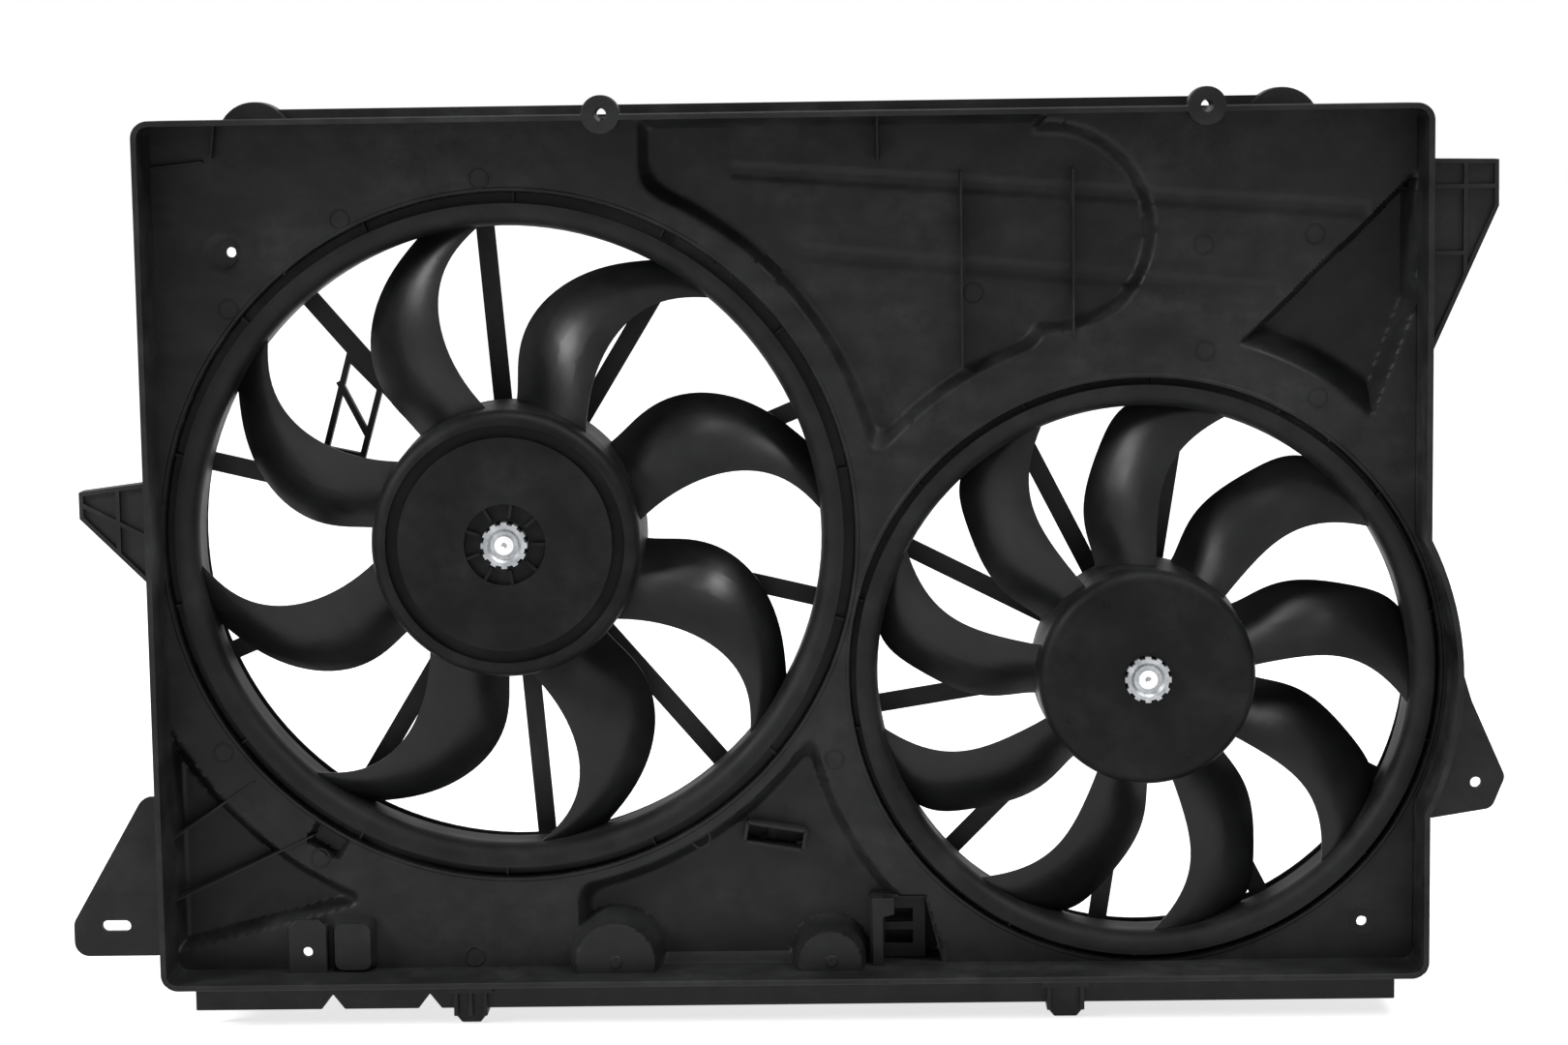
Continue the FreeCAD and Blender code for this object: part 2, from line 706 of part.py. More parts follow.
# ---- Fans ----
def make_ring(fan):
    """The fan's outer ring: a thin band that flares into a rolled lip."""
    flare = fan.lip_r - fan.bore_r - lip_curl
    x, z = fan.x, fan.z

    def p(r, y):
        return Vec(x + r, y, z)
    bend_y = lip_front + flare
    s45 = math.sin(math.radians(45))
    inner_mid = p(fan.bore_r + flare * (1 - s45), bend_y - flare * s45)
    back_r = flare - ring_wall
    outer_mid = p(fan.ring_r + back_r * (1 - s45), bend_y - back_r * s45)
    edges = [
        Part.LineSegment(p(fan.bore_r, ring_rear), p(fan.bore_r, bend_y)).toShape(),
        Part.Arc(p(fan.bore_r, bend_y), inner_mid, p(fan.bore_r + flare, lip_front)).toShape(),
        Part.LineSegment(p(fan.bore_r + flare, lip_front), p(fan.lip_r, lip_front)).toShape(),
        Part.LineSegment(p(fan.lip_r, lip_front), p(fan.lip_r, lip_front + lip_t)).toShape(),
        Part.LineSegment(p(fan.lip_r, lip_front + lip_t),
                         p(fan.bore_r + flare, lip_front + lip_t)).toShape(),
        Part.LineSegment(p(fan.bore_r + flare, lip_front + lip_t),
                         p(fan.bore_r + flare, lip_front + ring_wall)).toShape(),
        Part.Arc(p(fan.bore_r + flare, lip_front + ring_wall), outer_mid,
                 p(fan.ring_r, bend_y)).toShape(),
        Part.LineSegment(p(fan.ring_r, bend_y), p(fan.ring_r, ring_rear)).toShape(),
        Part.LineSegment(p(fan.ring_r, ring_rear), p(fan.bore_r, ring_rear)).toShape(),
    ]
    return Part.Face(Part.Wire(edges)).revolve(Vec(x, 0, z), AXIAL, 360)


def make_hub(fan, grooved):
    """The cup over the motor, with a rounded shoulder and a boss for the insert."""
    front = fan.hub_front
    r = fan.hub_r
    flat = r - hub_shoulder

    def p(rad, y):
        return Vec(fan.x + rad, y, fan.z)
    s45 = math.sin(math.radians(45))

    def shoulder(radius):
        centre_r = r - hub_shoulder
        centre_y = front + hub_shoulder
        mid = p(centre_r + radius * s45, centre_y - radius * s45)
        return Part.Arc(p(centre_r, centre_y - radius), mid, p(centre_r + radius, centre_y)).toShape()
    bend = front + hub_shoulder
    outer = shoulder(hub_shoulder)
    inner = shoulder(hub_shoulder - hub_wall)
    edges = [
        Part.LineSegment(p(0, front), p(flat, front)).toShape(),
        outer,
        Part.LineSegment(p(r, bend), p(r + hub_draft, hub_rear)).toShape(),
        Part.LineSegment(p(r + hub_draft, hub_rear), p(r + hub_draft - hub_wall, hub_rear)).toShape(),
        Part.LineSegment(p(r + hub_draft - hub_wall, hub_rear), p(r - hub_wall, bend)).toShape(),
        inner,
        Part.LineSegment(p(flat, front + hub_wall), p(boss_r, front + hub_wall)).toShape(),
        Part.LineSegment(p(boss_r, front + hub_wall), p(boss_r, boss_rear)).toShape(),
        Part.LineSegment(p(boss_r, boss_rear), p(0, boss_rear)).toShape(),
        Part.LineSegment(p(0, boss_rear), p(0, front)).toShape(),
    ]
    hub = Part.Face(Part.Wire(edges)).revolve(Vec(fan.x, 0, fan.z), AXIAL, 360)
    if grooved:
        mid = flat - groove_w
        behind = fan.tube(mid - hub_wall, flat + hub_wall, front + hub_wall / 2,
                          front + groove_depth + hub_wall)
        hub = hub.fuse(behind).cut(fan.tube(mid, flat, front - 1, front + groove_depth))
        recess = fan.disc(recess_r, front - 1, front + recess_depth)
        hub = hub.fuse(fan.disc(recess_r + hub_wall, front + 1, front + recess_depth + hub_wall))
        hub = hub.cut(recess)
        for k in range(recess_rib_count):
            rib = box(fan.x + boss_r - 1, fan.x + recess_r + 1, front + 0.5, front + recess_depth + 1,
                      fan.z - recess_rib_w / 2, fan.z + recess_rib_w / 2)
            hub = hub.fuse(fan.spun(rib, k * 360.0 / recess_rib_count))
    seat = fan.disc(insert_r + insert_tooth, front - 1, front + insert_sunk)
    return hub.cut(seat).cut(fan.disc(shaft_r, front, boss_rear + 1))


def blade_section(fan, r, mid, half, height, y_mid, thick):
    """A cambered section wrapped on the cylinder of radius r; the leading edge is in front."""
    span = math.radians(2 * half) * r
    chord = math.hypot(span, 2 * height)
    camber = 0.09 * chord
    front = []
    rear = []
    for share in (0.0, 0.25, 0.5, 0.75, 1.0):
        bow = 4 * share * (1 - share)
        deg = fan.first_blade + mid + half * (2 * share - 1)
        y = y_mid + height * (2 * share - 1) - camber * bow
        skin = thick / 2 * (0.35 + 0.65 * bow)
        front.append(fan.at(r, deg, y - skin))
        rear.append(fan.at(r, deg, y + skin))
    rear.reverse()
    upper = Part.BSplineCurve()
    upper.interpolate(front)
    lower = Part.BSplineCurve()
    lower.interpolate(rear)
    return Part.Wire([upper.toShape(), Part.makeLine(front[-1], rear[0]), lower.toShape(),
                      Part.makeLine(rear[-1], front[0])])


def make_blade(fan):
    inside = fan.hub_r - hub_wall / 3
    outside = fan.bore_r + ring_wall / 2
    wires = []
    for share, mid, half, height, y_mid, thick in fan.stations:
        r = inside + share * (outside - inside)
        wires.append(blade_section(fan, r, mid, half, height, y_mid, thick))
    return Part.makeLoft(wires, True, False)


def make_blades(fan, hub, ring):
    """The blades, trimmed where they grow out of the hub and into the ring."""
    trimmed = make_blade(fan).cut([hub, ring])
    blade = max(trimmed.Solids, key=lambda solid: solid.Volume)
    return Part.makeCompound([fan.spun(blade, k * 360.0 / fan.blades) for k in range(fan.blades)])


def make_insert(fan):
    """The metal driver in the hub: a dished boss with square teeth round its edge."""
    front = fan.hub_front - insert_proud
    rear = fan.hub_front + insert_sunk
    body = fan.disc(insert_r, front, rear)
    for k in range(insert_teeth):
        tooth = box(fan.x + insert_r - 1, fan.x + insert_r + insert_tooth, front, rear,
                    fan.z - insert_tooth_w / 2, fan.z + insert_tooth_w / 2)
        body = body.fuse(fan.spun(tooth, k * 360.0 / insert_teeth))
    body = body.common(fan.disc(insert_r + insert_tooth, front, rear))
    dish = Part.makeCone(insert_dish_r, insert_dish_r - insert_dish, insert_dish,
                         Vec(fan.x, front, fan.z), AXIAL)
    return body.cut(dish).cut(fan.disc(shaft_r, front - 1, rear + 1))


# ---- Motor carriers ----
def make_motor_ring(fan):
    """The ring the motor sits in, with a pad for each motor screw."""
    seat_r = fan.motor_r + carrier_gap
    ring_r = seat_r + carrier_wall
    pads = []
    for deg in fastener_angles():
        centre = fan.at(ring_r + carrier_boss_r - 2, deg, strut_front)
        pads.append(Part.makeCylinder(carrier_boss_r, carrier_rear - strut_front, centre, AXIAL))
    ring = fan.disc(ring_r, strut_front, carrier_rear).fuse(pads)
    ring = ring.cut(fan.disc(seat_r, strut_front - 1, carrier_rear + 1))
    for deg in fastener_angles():
        centre = fan.at(ring_r + carrier_boss_r - 2, deg, carrier_rear - screw_len)
        ring = ring.cut(Part.makeCylinder(screw_r, screw_len + 1, centre, AXIAL))
    return ring


def make_struts(fan, ring):
    """The T-section struts between the motor ring and the barrel."""
    seat_r = fan.motor_r + carrier_gap
    tips = fan.disc(fan.barrel_r, strut_front - 1, barrel_rear - barrel_return_t)
    hole = fan.disc(seat_r + 1, strut_front - 1, carrier_rear + 1)
    struts = []
    for k in range(strut_count):
        web = box(fan.x + seat_r, fan.x + fan.barrel_r + 1, strut_front, strut_front + strut_w,
                  fan.z - strut_t / 2, fan.z + strut_t / 2)
        cap = box(fan.x + seat_r, fan.x + fan.barrel_r + 1, strut_front, strut_front + strut_t,
                  fan.z - strut_w / 2, fan.z + strut_w / 2)
        strut = fan.spun(web.fuse(cap), fan.first_strut + k * 360.0 / strut_count).common(tips)
        strut = strut.cut(hole).cut(ring)
        struts.append(max(strut.Solids, key=lambda solid: solid.Volume))
    return Part.makeCompound(struts)


def make_brace(struts):
    """The open triangular brace that ties two struts of the left fan."""
    face = sheet(moved(brace, LEFT.x, LEFT.z))
    frame = plate(face, brace_front, brace_front + brace_t)
    frame = frame.cut(plate(face.makeOffset2D(-brace_web), brace_front - 1, brace_front + brace_t + 1))
    x0, z0, x1, z1 = moved([brace_cross], LEFT.x, LEFT.z)[0]
    frame = frame.fuse(strip(x0, z0, x1, z1, brace_web, brace_front, brace_front + brace_t))
    frame = frame.cut(struts)
    return max(frame.Solids, key=lambda solid: solid.Volume)


def make_guides(fan, struts):
    """The C-shaped wire guides on one strut."""
    deg = fan.first_strut + guide_strut * 360.0 / strut_count
    guides = []
    for r in guide_at:
        centre = fan.at(r, deg, strut_front + strut_w / 2)
        off = fan.at(1, deg + 90) - fan.at(0, deg)
        centre = centre + off * (strut_t / 2 + guide_r)
        along = fan.at(1, deg) - fan.at(0, deg)
        outer = Part.makeCylinder(guide_r, guide_w, centre - along * (guide_w / 2), along)
        inner = Part.makeCylinder(guide_r - guide_wall, guide_w + 2, centre - along * (guide_w / 2 + 1),
                                  along)
        mouth = Part.makeBox(guide_r * 2, guide_r, guide_r * 2)
        mouth.translate(Vec(centre.x - guide_r, strut_front + strut_w / 2 + guide_wall,
                            centre.z - guide_r))
        guides.append(outer.cut(inner).cut(mouth).cut(struts).Solids[0])
    return Part.makeCompound(guides)


def fastener_angles():
    return [fastener_first + k * 360.0 / fastener_count for k in range(fastener_count)]


# ---- Motors ----
def make_can(fan):
    """The deep-drawn steel can with a cup at the back for the rear bearing."""
    r = fan.motor_r
    cup = bearing_r + can_t
    rear_in = can_rear - can_t
    can = fan.turned([
        (r - can_t, can_front), (r, can_front), (r, can_rear - 3), (r - 3, can_rear),
        (cup, can_rear), (cup, can_rear + bearing_w - 1), (cup - 2, can_rear + bearing_w),
        (0, can_rear + bearing_w), (0, can_rear + bearing_w - can_t),
        (bearing_r, can_rear + bearing_w - can_t), (bearing_r, rear_in), (r - can_t, rear_in)])
    return can


def make_end_plate(fan):
    r = fan.motor_r
    front = can_front - end_plate_t
    pocket_r = bearing_r + bearing_shell
    return fan.turned([
        (shaft_r + 1.5, front), (r - 2, front), (r, front + 1.5), (r, can_front),
        (pocket_r, can_front), (pocket_r, can_front + bearing_w), (bearing_r, can_front + bearing_w),
        (bearing_r, can_front), (shaft_r + 1.5, can_front)])


def make_bearing(fan, front):
    return fan.tube(shaft_r + bearing_clear, bearing_r, front, front + bearing_w)


def make_flange(fan):
    """The pressed ring behind the carrier, with one ear for each screw."""
    r = fan.motor_r
    seat_r = r + carrier_gap + carrier_wall
    ring = fan.disc(seat_r, carrier_rear, carrier_rear + flange_t)
    for deg in fastener_angles():
        centre = fan.at(seat_r + carrier_boss_r - 2, deg, carrier_rear)
        ear = Part.makeCylinder(screw_head_r + 2.5, flange_t, centre, AXIAL)
        ring = ring.fuse(ear)
    ring = ring.cut(fan.disc(r, carrier_rear - 1, carrier_rear + flange_t + 1))
    for deg in fastener_angles():
        centre = fan.at(seat_r + carrier_boss_r - 2, deg, carrier_rear - 1)
        ring = ring.cut(Part.makeCylinder(screw_r, flange_t + 2, centre, AXIAL))
    return ring


def make_screws(fan):
    seat_r = fan.motor_r + carrier_gap + carrier_wall
    back = carrier_rear + flange_t
    screws = []
    for deg in fastener_angles():
        centre = fan.at(seat_r + carrier_boss_r - 2, deg, back)
        start = fan.at(seat_r + carrier_boss_r - 2, deg, carrier_rear - screw_len)
        shank = Part.makeCylinder(screw_r, back - carrier_rear + screw_len, start, AXIAL)
        head = Part.makeCylinder(screw_head_r, screw_head_h, centre, AXIAL)
        drive_at = fan.at(seat_r + carrier_boss_r - 2, deg, back + 1)
        drive = Part.makeCylinder(screw_drive_r, screw_head_h, drive_at, AXIAL)
        screws.append(shank.fuse(head).cut(drive))
    return Part.makeCompound(screws)


def make_magnets(fan):
    outer = fan.motor_r - can_t
    ring = fan.tube(outer - magnet_t, outer, magnet_front, magnet_rear)
    half = math.radians(magnet_arc / 2)
    reach = outer * 1.5
    rise = reach * math.tan(half)
    wedge = slab([(fan.x, fan.z), (fan.x + reach, fan.z - rise), (fan.x + reach, fan.z + rise)],
                 magnet_front - 1, magnet_rear + 1)
    one = ring.common(wedge)
    return Part.makeCompound([fan.spun(one, k * 360.0 / magnet_count) for k in range(magnet_count)])


def core_radius(fan):
    return fan.motor_r - can_t - magnet_t - air_gap


def slot_bar(fan, clear, y0, y1):
    outer = core_radius(fan) - tooth_tip
    w = slot_w - 2 * clear
    return box(fan.x + core_back_r + clear, fan.x + outer - clear, y0, y1, fan.z - w / 2, fan.z + w / 2)


def make_core(fan):
    """The laminated armature core with open slots."""
    r = core_radius(fan)
    core = fan.tube(shaft_r, r, core_front, core_rear)
    one = slot_bar(fan, 0.0, core_front - 1, core_rear + 1)
    one = one.fuse(box(fan.x + r - tooth_tip - 1, fan.x + r + 1, core_front - 1, core_rear + 1,
                       fan.z - slot_mouth_w / 2, fan.z + slot_mouth_w / 2))
    return core.cut([fan.spun(one, k * 360.0 / core_slots) for k in range(core_slots)])


def make_windings(fan):
    """The copper windings: a bar in each slot and the two end turns."""
    inner = core_back_r + winding_clear
    outer = core_radius(fan) - tooth_tip - winding_clear
    ends = [fan.tube(inner, outer, core_front - winding_over, core_front - winding_clear),
            fan.tube(inner, outer, core_rear + winding_clear, core_rear + winding_over)]
    bars = [fan.spun(slot_bar(fan, winding_clear, core_front - winding_over + 1,
                              core_rear + winding_over - 1), k * 360.0 / core_slots)
            for k in range(core_slots)]
    return ends[0].fuse(ends[1:] + bars)


def make_commutator(fan):
    ring = fan.tube(shaft_r, commutator_r, commutator_front, commutator_rear)
    cut = box(fan.x + commutator_r - 1.5, fan.x + commutator_r + 1, commutator_front - 1,
              commutator_rear - 2, fan.z - 0.4, fan.z + 0.4)
    return ring.cut([fan.spun(cut, (k + 0.5) * 360.0 / commutator_bars) for k in range(commutator_bars)])


def brush_box(fan, clear, grow):
    inner = commutator_r + brush_gap + clear
    y0 = card_front + card_t + holder_t
    return box(fan.x + inner, fan.x + commutator_r + brush_gap + brush_len, y0 - grow,
               y0 + brush_h + grow, fan.z - brush_w / 2 - grow, fan.z + brush_w / 2 + grow)


def make_card(fan):
    """The brush card: a plate across the can with two brush holders."""
    r = fan.motor_r - can_t - card_clear
    card = fan.tube(shaft_r + 3, r, card_front, card_front + card_t)
    for deg in (0.0, 180.0):
        holder = brush_box(fan, 2.5, holder_t)
        card = card.fuse(fan.spun(holder, deg))
    for deg in (0.0, 180.0):
        card = card.cut(fan.spun(brush_box(fan, 0.0, 0.0), deg))
    return card


def make_brushes(fan):
    one = brush_box(fan, 0.0, 0.0)
    face = fan.disc(commutator_r + brush_gap, 0, can_rear)
    return Part.makeCompound([fan.spun(one, 0).cut(face), fan.spun(one, 180).cut(face)])


def make_shaft(fan):
    front = fan.hub_front - insert_proud - shaft_proud + insert_dish
    rear = can_rear + bearing_w - can_t - 0.5
    shaft = fan.disc(shaft_r, front, rear)
    drill = Part.makeCone(centre_drill_r, 0, centre_drill_r, Vec(fan.x, front, fan.z), AXIAL)
    return shaft.cut(drill)


def make_socket(fan):
    """The power inlet on the back of the can, open towards the outside."""
    outer = fan.motor_r - 4
    x0 = fan.x + outer - socket_len
    x1 = fan.x + outer
    half = socket_w / 2
    body = box(x0, x1, can_rear, can_rear + socket_h, fan.z - half, fan.z + half)
    hollow = box(x0 + 5, x1 + 1, can_rear + socket_wall, can_rear + socket_h - socket_wall,
                 fan.z - half + socket_wall, fan.z + half - socket_wall)
    body = body.cut(hollow)
    for z in (-blade_pitch / 2, blade_pitch / 2):
        mid = can_rear + socket_h / 2
        body = body.cut(box(x0 + 2, x0 + 6, mid - blade_t / 2, mid + blade_t / 2,
                            fan.z + z - blade_w / 2, fan.z + z + blade_w / 2))
    return fan.spun(body, socket_angle)


def make_terminals(fan):
    outer = fan.motor_r - 4
    x0 = fan.x + outer - socket_len + 2
    x1 = fan.x + outer - 3
    mid = can_rear + socket_h / 2
    blades = []
    for z in (-blade_pitch / 2, blade_pitch / 2):
        blades.append(fan.spun(box(x0, x1, mid - blade_t / 2, mid + blade_t / 2,
                                   fan.z + z - blade_w / 2, fan.z + z + blade_w / 2), socket_angle))
    return Part.makeCompound(blades)


# The right barrel stops at the left one, where the two share a wall
shared_wall = LEFT.disc(LEFT.opening_r + ledge_wall, tray_depth - 1, ledge_rear + ledge_wall + 1)
barrels = {"left": make_barrel(LEFT), "right": make_barrel(RIGHT).cut(shared_wall)}
for fan, grooved in ((LEFT, True), (RIGHT, False)):
    hub = make_hub(fan, grooved)
    ring = make_ring(fan)
    motor_ring = make_motor_ring(fan)
    pieces = {
        "barrel": barrels[fan.side],
        "motor_ring": motor_ring,
        "struts": make_struts(fan, motor_ring),
        "hub": hub,
        "blades": make_blades(fan, hub, ring),
        "fan_ring": ring,
        "insert": make_insert(fan),
        "shaft": make_shaft(fan),
        "can": make_can(fan),
        "end_plate": make_end_plate(fan),
        "front_bearing": make_bearing(fan, can_front),
        "rear_bearing": make_bearing(fan, can_rear - can_t),
        "flange": make_flange(fan),
        "screws": make_screws(fan),
        "magnets": make_magnets(fan),
        "core": make_core(fan),
        "windings": make_windings(fan),
        "commutator": make_commutator(fan),
        "brush_card": make_card(fan),
        "brushes": make_brushes(fan),
        "socket": make_socket(fan),
        "terminals": make_terminals(fan),
    }
    if fan is LEFT:
        pieces["brace"] = make_brace(pieces["struts"])
        pieces["guides"] = make_guides(fan, pieces["struts"])
    for name, shape in pieces.items():
        node(fan.side + "_" + name, shape)
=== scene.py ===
import bpy
import bmesh
import json
import math
from mathutils import Matrix, Vector


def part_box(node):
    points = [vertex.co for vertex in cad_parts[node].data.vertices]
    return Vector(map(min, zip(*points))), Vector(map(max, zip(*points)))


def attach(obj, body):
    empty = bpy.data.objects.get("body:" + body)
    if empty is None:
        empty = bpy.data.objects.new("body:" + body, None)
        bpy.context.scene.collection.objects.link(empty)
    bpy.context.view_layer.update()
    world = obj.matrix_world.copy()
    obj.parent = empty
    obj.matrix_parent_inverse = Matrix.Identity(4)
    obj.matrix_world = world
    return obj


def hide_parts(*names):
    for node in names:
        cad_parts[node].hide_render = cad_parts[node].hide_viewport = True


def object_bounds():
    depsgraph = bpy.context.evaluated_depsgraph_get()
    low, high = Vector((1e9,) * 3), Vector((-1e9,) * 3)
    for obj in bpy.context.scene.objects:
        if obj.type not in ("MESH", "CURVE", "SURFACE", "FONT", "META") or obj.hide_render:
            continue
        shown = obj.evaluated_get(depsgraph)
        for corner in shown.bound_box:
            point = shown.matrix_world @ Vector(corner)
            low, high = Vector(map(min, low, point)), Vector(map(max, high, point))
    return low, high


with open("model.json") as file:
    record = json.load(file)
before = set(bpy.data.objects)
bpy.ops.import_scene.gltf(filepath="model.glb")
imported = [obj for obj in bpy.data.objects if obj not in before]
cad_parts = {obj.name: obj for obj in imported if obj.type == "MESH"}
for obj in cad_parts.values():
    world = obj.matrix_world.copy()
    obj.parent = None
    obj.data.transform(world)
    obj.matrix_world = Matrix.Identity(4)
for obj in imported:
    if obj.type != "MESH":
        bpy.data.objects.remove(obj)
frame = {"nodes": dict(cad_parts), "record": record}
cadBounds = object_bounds()
nodes = frame["nodes"]
print("frame loaded:", len(nodes), "nodes")

mm = 0.001
leftHub = (-148.2, 6.3)  # the middle of each fan as (x, z), in mm
rightHub = (189.0, -69.6)


def nodeTree(name):
    mat = bpy.data.materials.new(name)
    mat.use_nodes = True
    return mat, mat.node_tree, mat.node_tree.nodes["Principled BSDF"]


def mathNode(tree, operation, first, second):
    node = tree.nodes.new("ShaderNodeMath")
    node.operation = operation
    tree.links.new(first, node.inputs[0])
    tree.links.new(second, node.inputs[1])
    return node.outputs[0]


def mapRange(tree, value, fromLow, fromHigh, toLow, toHigh):
    node = tree.nodes.new("ShaderNodeMapRange")
    node.inputs["From Min"].default_value = fromLow
    node.inputs["From Max"].default_value = fromHigh
    node.inputs["To Min"].default_value = toLow
    node.inputs["To Max"].default_value = toHigh
    tree.links.new(value, node.inputs["Value"])
    return node.outputs["Result"]


# noise keeps near its middle: these are its low and high values, and where a blend is all dark or all light
noiseRange = {"low": 0.3, "high": 0.7, "darkStop": 0.32, "lightStop": 0.68}


def noise(tree, scale, detail, rough=0.55, stretch=None):
    vector = tree.nodes.new("ShaderNodeTexCoord").outputs["Object"]
    tex = tree.nodes.new("ShaderNodeTexNoise")
    tex.inputs["Scale"].default_value = scale
    tex.inputs["Detail"].default_value = detail
    tex.inputs["Roughness"].default_value = rough
    if stretch:
        mapping = tree.nodes.new("ShaderNodeMapping")
        mapping.inputs["Scale"].default_value = stretch
        tree.links.new(vector, mapping.inputs["Vector"])
        vector = mapping.outputs["Vector"]
    tree.links.new(vector, tex.inputs["Vector"])
    return tex.outputs["Fac"]


def spread(tree, fac, low, high):
    return mapRange(tree, fac, noiseRange["low"], noiseRange["high"], low, high)


def blendColour(tree, fac, dark, light):
    blend = tree.nodes.new("ShaderNodeValToRGB")
    stops = blend.color_ramp.elements
    stops[0].position = noiseRange["darkStop"]
    stops[0].color = (*dark, 1)
    stops[1].position = noiseRange["lightStop"]
    stops[1].color = (*light, 1)
    tree.links.new(fac, blend.inputs["Fac"])
    return blend.outputs["Color"]


def addBump(tree, shader, layers):
    # each layer is (height, strength, depth in metres), and rides on the one before it
    last = None
    for fac, strength, distance in layers:
        bump = tree.nodes.new("ShaderNodeBump")
        bump.inputs["Strength"].default_value = strength
        bump.inputs["Distance"].default_value = distance
        tree.links.new(fac, bump.inputs["Height"])
        if last:
            tree.links.new(last, bump.inputs["Normal"])
        last = bump.outputs["Normal"]
    tree.links.new(last, shader.inputs["Normal"])


dustLook = {"specks": 55.0, "detail": 8.0, "rough": 0.7, "colour": (0.05, 0.051, 0.052)}


def addDust(tree, colour, flow, amount):
    # pale handling dust: fine specks gathered in the flow lines
    look = dustLook
    specks = spread(tree, noise(tree, look["specks"], look["detail"], look["rough"]), 0.0, amount)
    mix = tree.nodes.new("ShaderNodeMix")
    mix.data_type = "RGBA"
    tree.links.new(mathNode(tree, "MULTIPLY", specks, spread(tree, flow, 0.0, 1.0)), mix.inputs[0])
    tree.links.new(colour, mix.inputs[6])  # inputs 6 and 7 are the two colours to mix
    mix.inputs[7].default_value = (*look["colour"], 1)
    return mix.outputs[2]


plasticGrain = {
    "cloudDetail": 5.0, "flowDetail": 3.0, "flowRough": 0.6, "grainDetail": 2.0,
    "flowStrength": 0.10, "flowDepth": 0.0004, "grainDepth": 0.00008,
}

plasticLook = {
    "shroud": {"dark": (0.0026, 0.0027, 0.0029), "light": (0.0095, 0.0098, 0.0102), "cloud": 7.0,
               "flow": 14.0, "flowStretch": (1.0, 1.0, 3.0), "grain": 1400.0, "grainStrength": 0.25,
               "roughLow": 0.40, "roughHigh": 0.56, "specular": 0.15, "dust": 0.5},
    "fan": {"dark": (0.0048, 0.005, 0.0054), "light": (0.0085, 0.0088, 0.0094), "cloud": 12.0,
            "flow": 20.0, "flowStretch": (1.0, 2.0, 1.0), "grain": 1600.0, "grainStrength": 0.14,
            "roughLow": 0.26, "roughHigh": 0.38, "specular": 0.17, "dust": 0.22},
    # painted shade: the hub is the fan plastic with a darker base colour, standing in for the dark it
    # reflects; its lower specular and higher roughness are a real duller finish
    "hub": {"dark": (0.0020, 0.0021, 0.0023), "light": (0.0048, 0.0050, 0.0053), "cloud": 18.0,
            "flow": 26.0, "flowStretch": (1.0, 2.0, 1.0), "grain": 1500.0, "grainStrength": 0.18,
            "roughLow": 0.42, "roughHigh": 0.56, "specular": 0.09, "dust": 0.3},
    # painted shade: the ring is the fan plastic with a darker base colour; its lower specular and higher
    # roughness are a real duller finish
    "ring": {"dark": (0.0026, 0.0027, 0.0029), "light": (0.0060, 0.0062, 0.0065), "cloud": 14.0,
             "flow": 30.0, "flowStretch": (1.0, 3.0, 1.0), "grain": 1500.0, "grainStrength": 0.2,
             "roughLow": 0.46, "roughHigh": 0.6, "specular": 0.13, "dust": 0.35},
    "socket": {"dark": (0.012, 0.012, 0.013), "light": (0.02, 0.02, 0.021), "cloud": 60.0,
               "flow": 80.0, "flowStretch": (1.0, 1.0, 1.0), "grain": 2000.0, "grainStrength": 0.15,
               "roughLow": 0.35, "roughHigh": 0.5, "specular": 0.5, "dust": 0.1},
    "card": {"dark": (0.10, 0.045, 0.018), "light": (0.16, 0.075, 0.03), "cloud": 40.0,
             "flow": 90.0, "flowStretch": (4.0, 1.0, 1.0), "grain": 1500.0, "grainStrength": 0.2,
             "roughLow": 0.5, "roughHigh": 0.65, "specular": 0.4, "dust": 0.1},
    "carbon": {"dark": (0.012, 0.012, 0.012), "light": (0.03, 0.03, 0.03), "cloud": 200.0,
               "flow": 300.0, "flowStretch": (1.0, 6.0, 1.0), "grain": 2500.0, "grainStrength": 0.4,
               "roughLow": 0.55, "roughHigh": 0.75, "specular": 0.3, "dust": 0.1},
}


def mouldedPlastic(name, look):
    # a slow cloudy tone, faint flow lines, a fine moulded grain and dust
    base = plasticGrain
    mat, tree, shader = nodeTree(name)
    cloud = noise(tree, look["cloud"], base["cloudDetail"])
    flow = noise(tree, look["flow"], base["flowDetail"], base["flowRough"], look["flowStretch"])
    grain = noise(tree, look["grain"], base["grainDetail"])
    clean = blendColour(tree, cloud, look["dark"], look["light"])
    tree.links.new(addDust(tree, clean, flow, look["dust"]), shader.inputs["Base Color"])
    tree.links.new(spread(tree, flow, look["roughLow"], look["roughHigh"]), shader.inputs["Roughness"])
    shader.inputs["Specular IOR Level"].default_value = look["specular"]
    addBump(tree, shader, [(flow, base["flowStrength"], base["flowDepth"]),
                           (grain, look["grainStrength"], base["grainDepth"])])
    return mat


metalGrain = {"cloudDetail": 4.0, "streakDetail": 3.0, "streakRough": 0.6, "streakDepth": 0.00006}

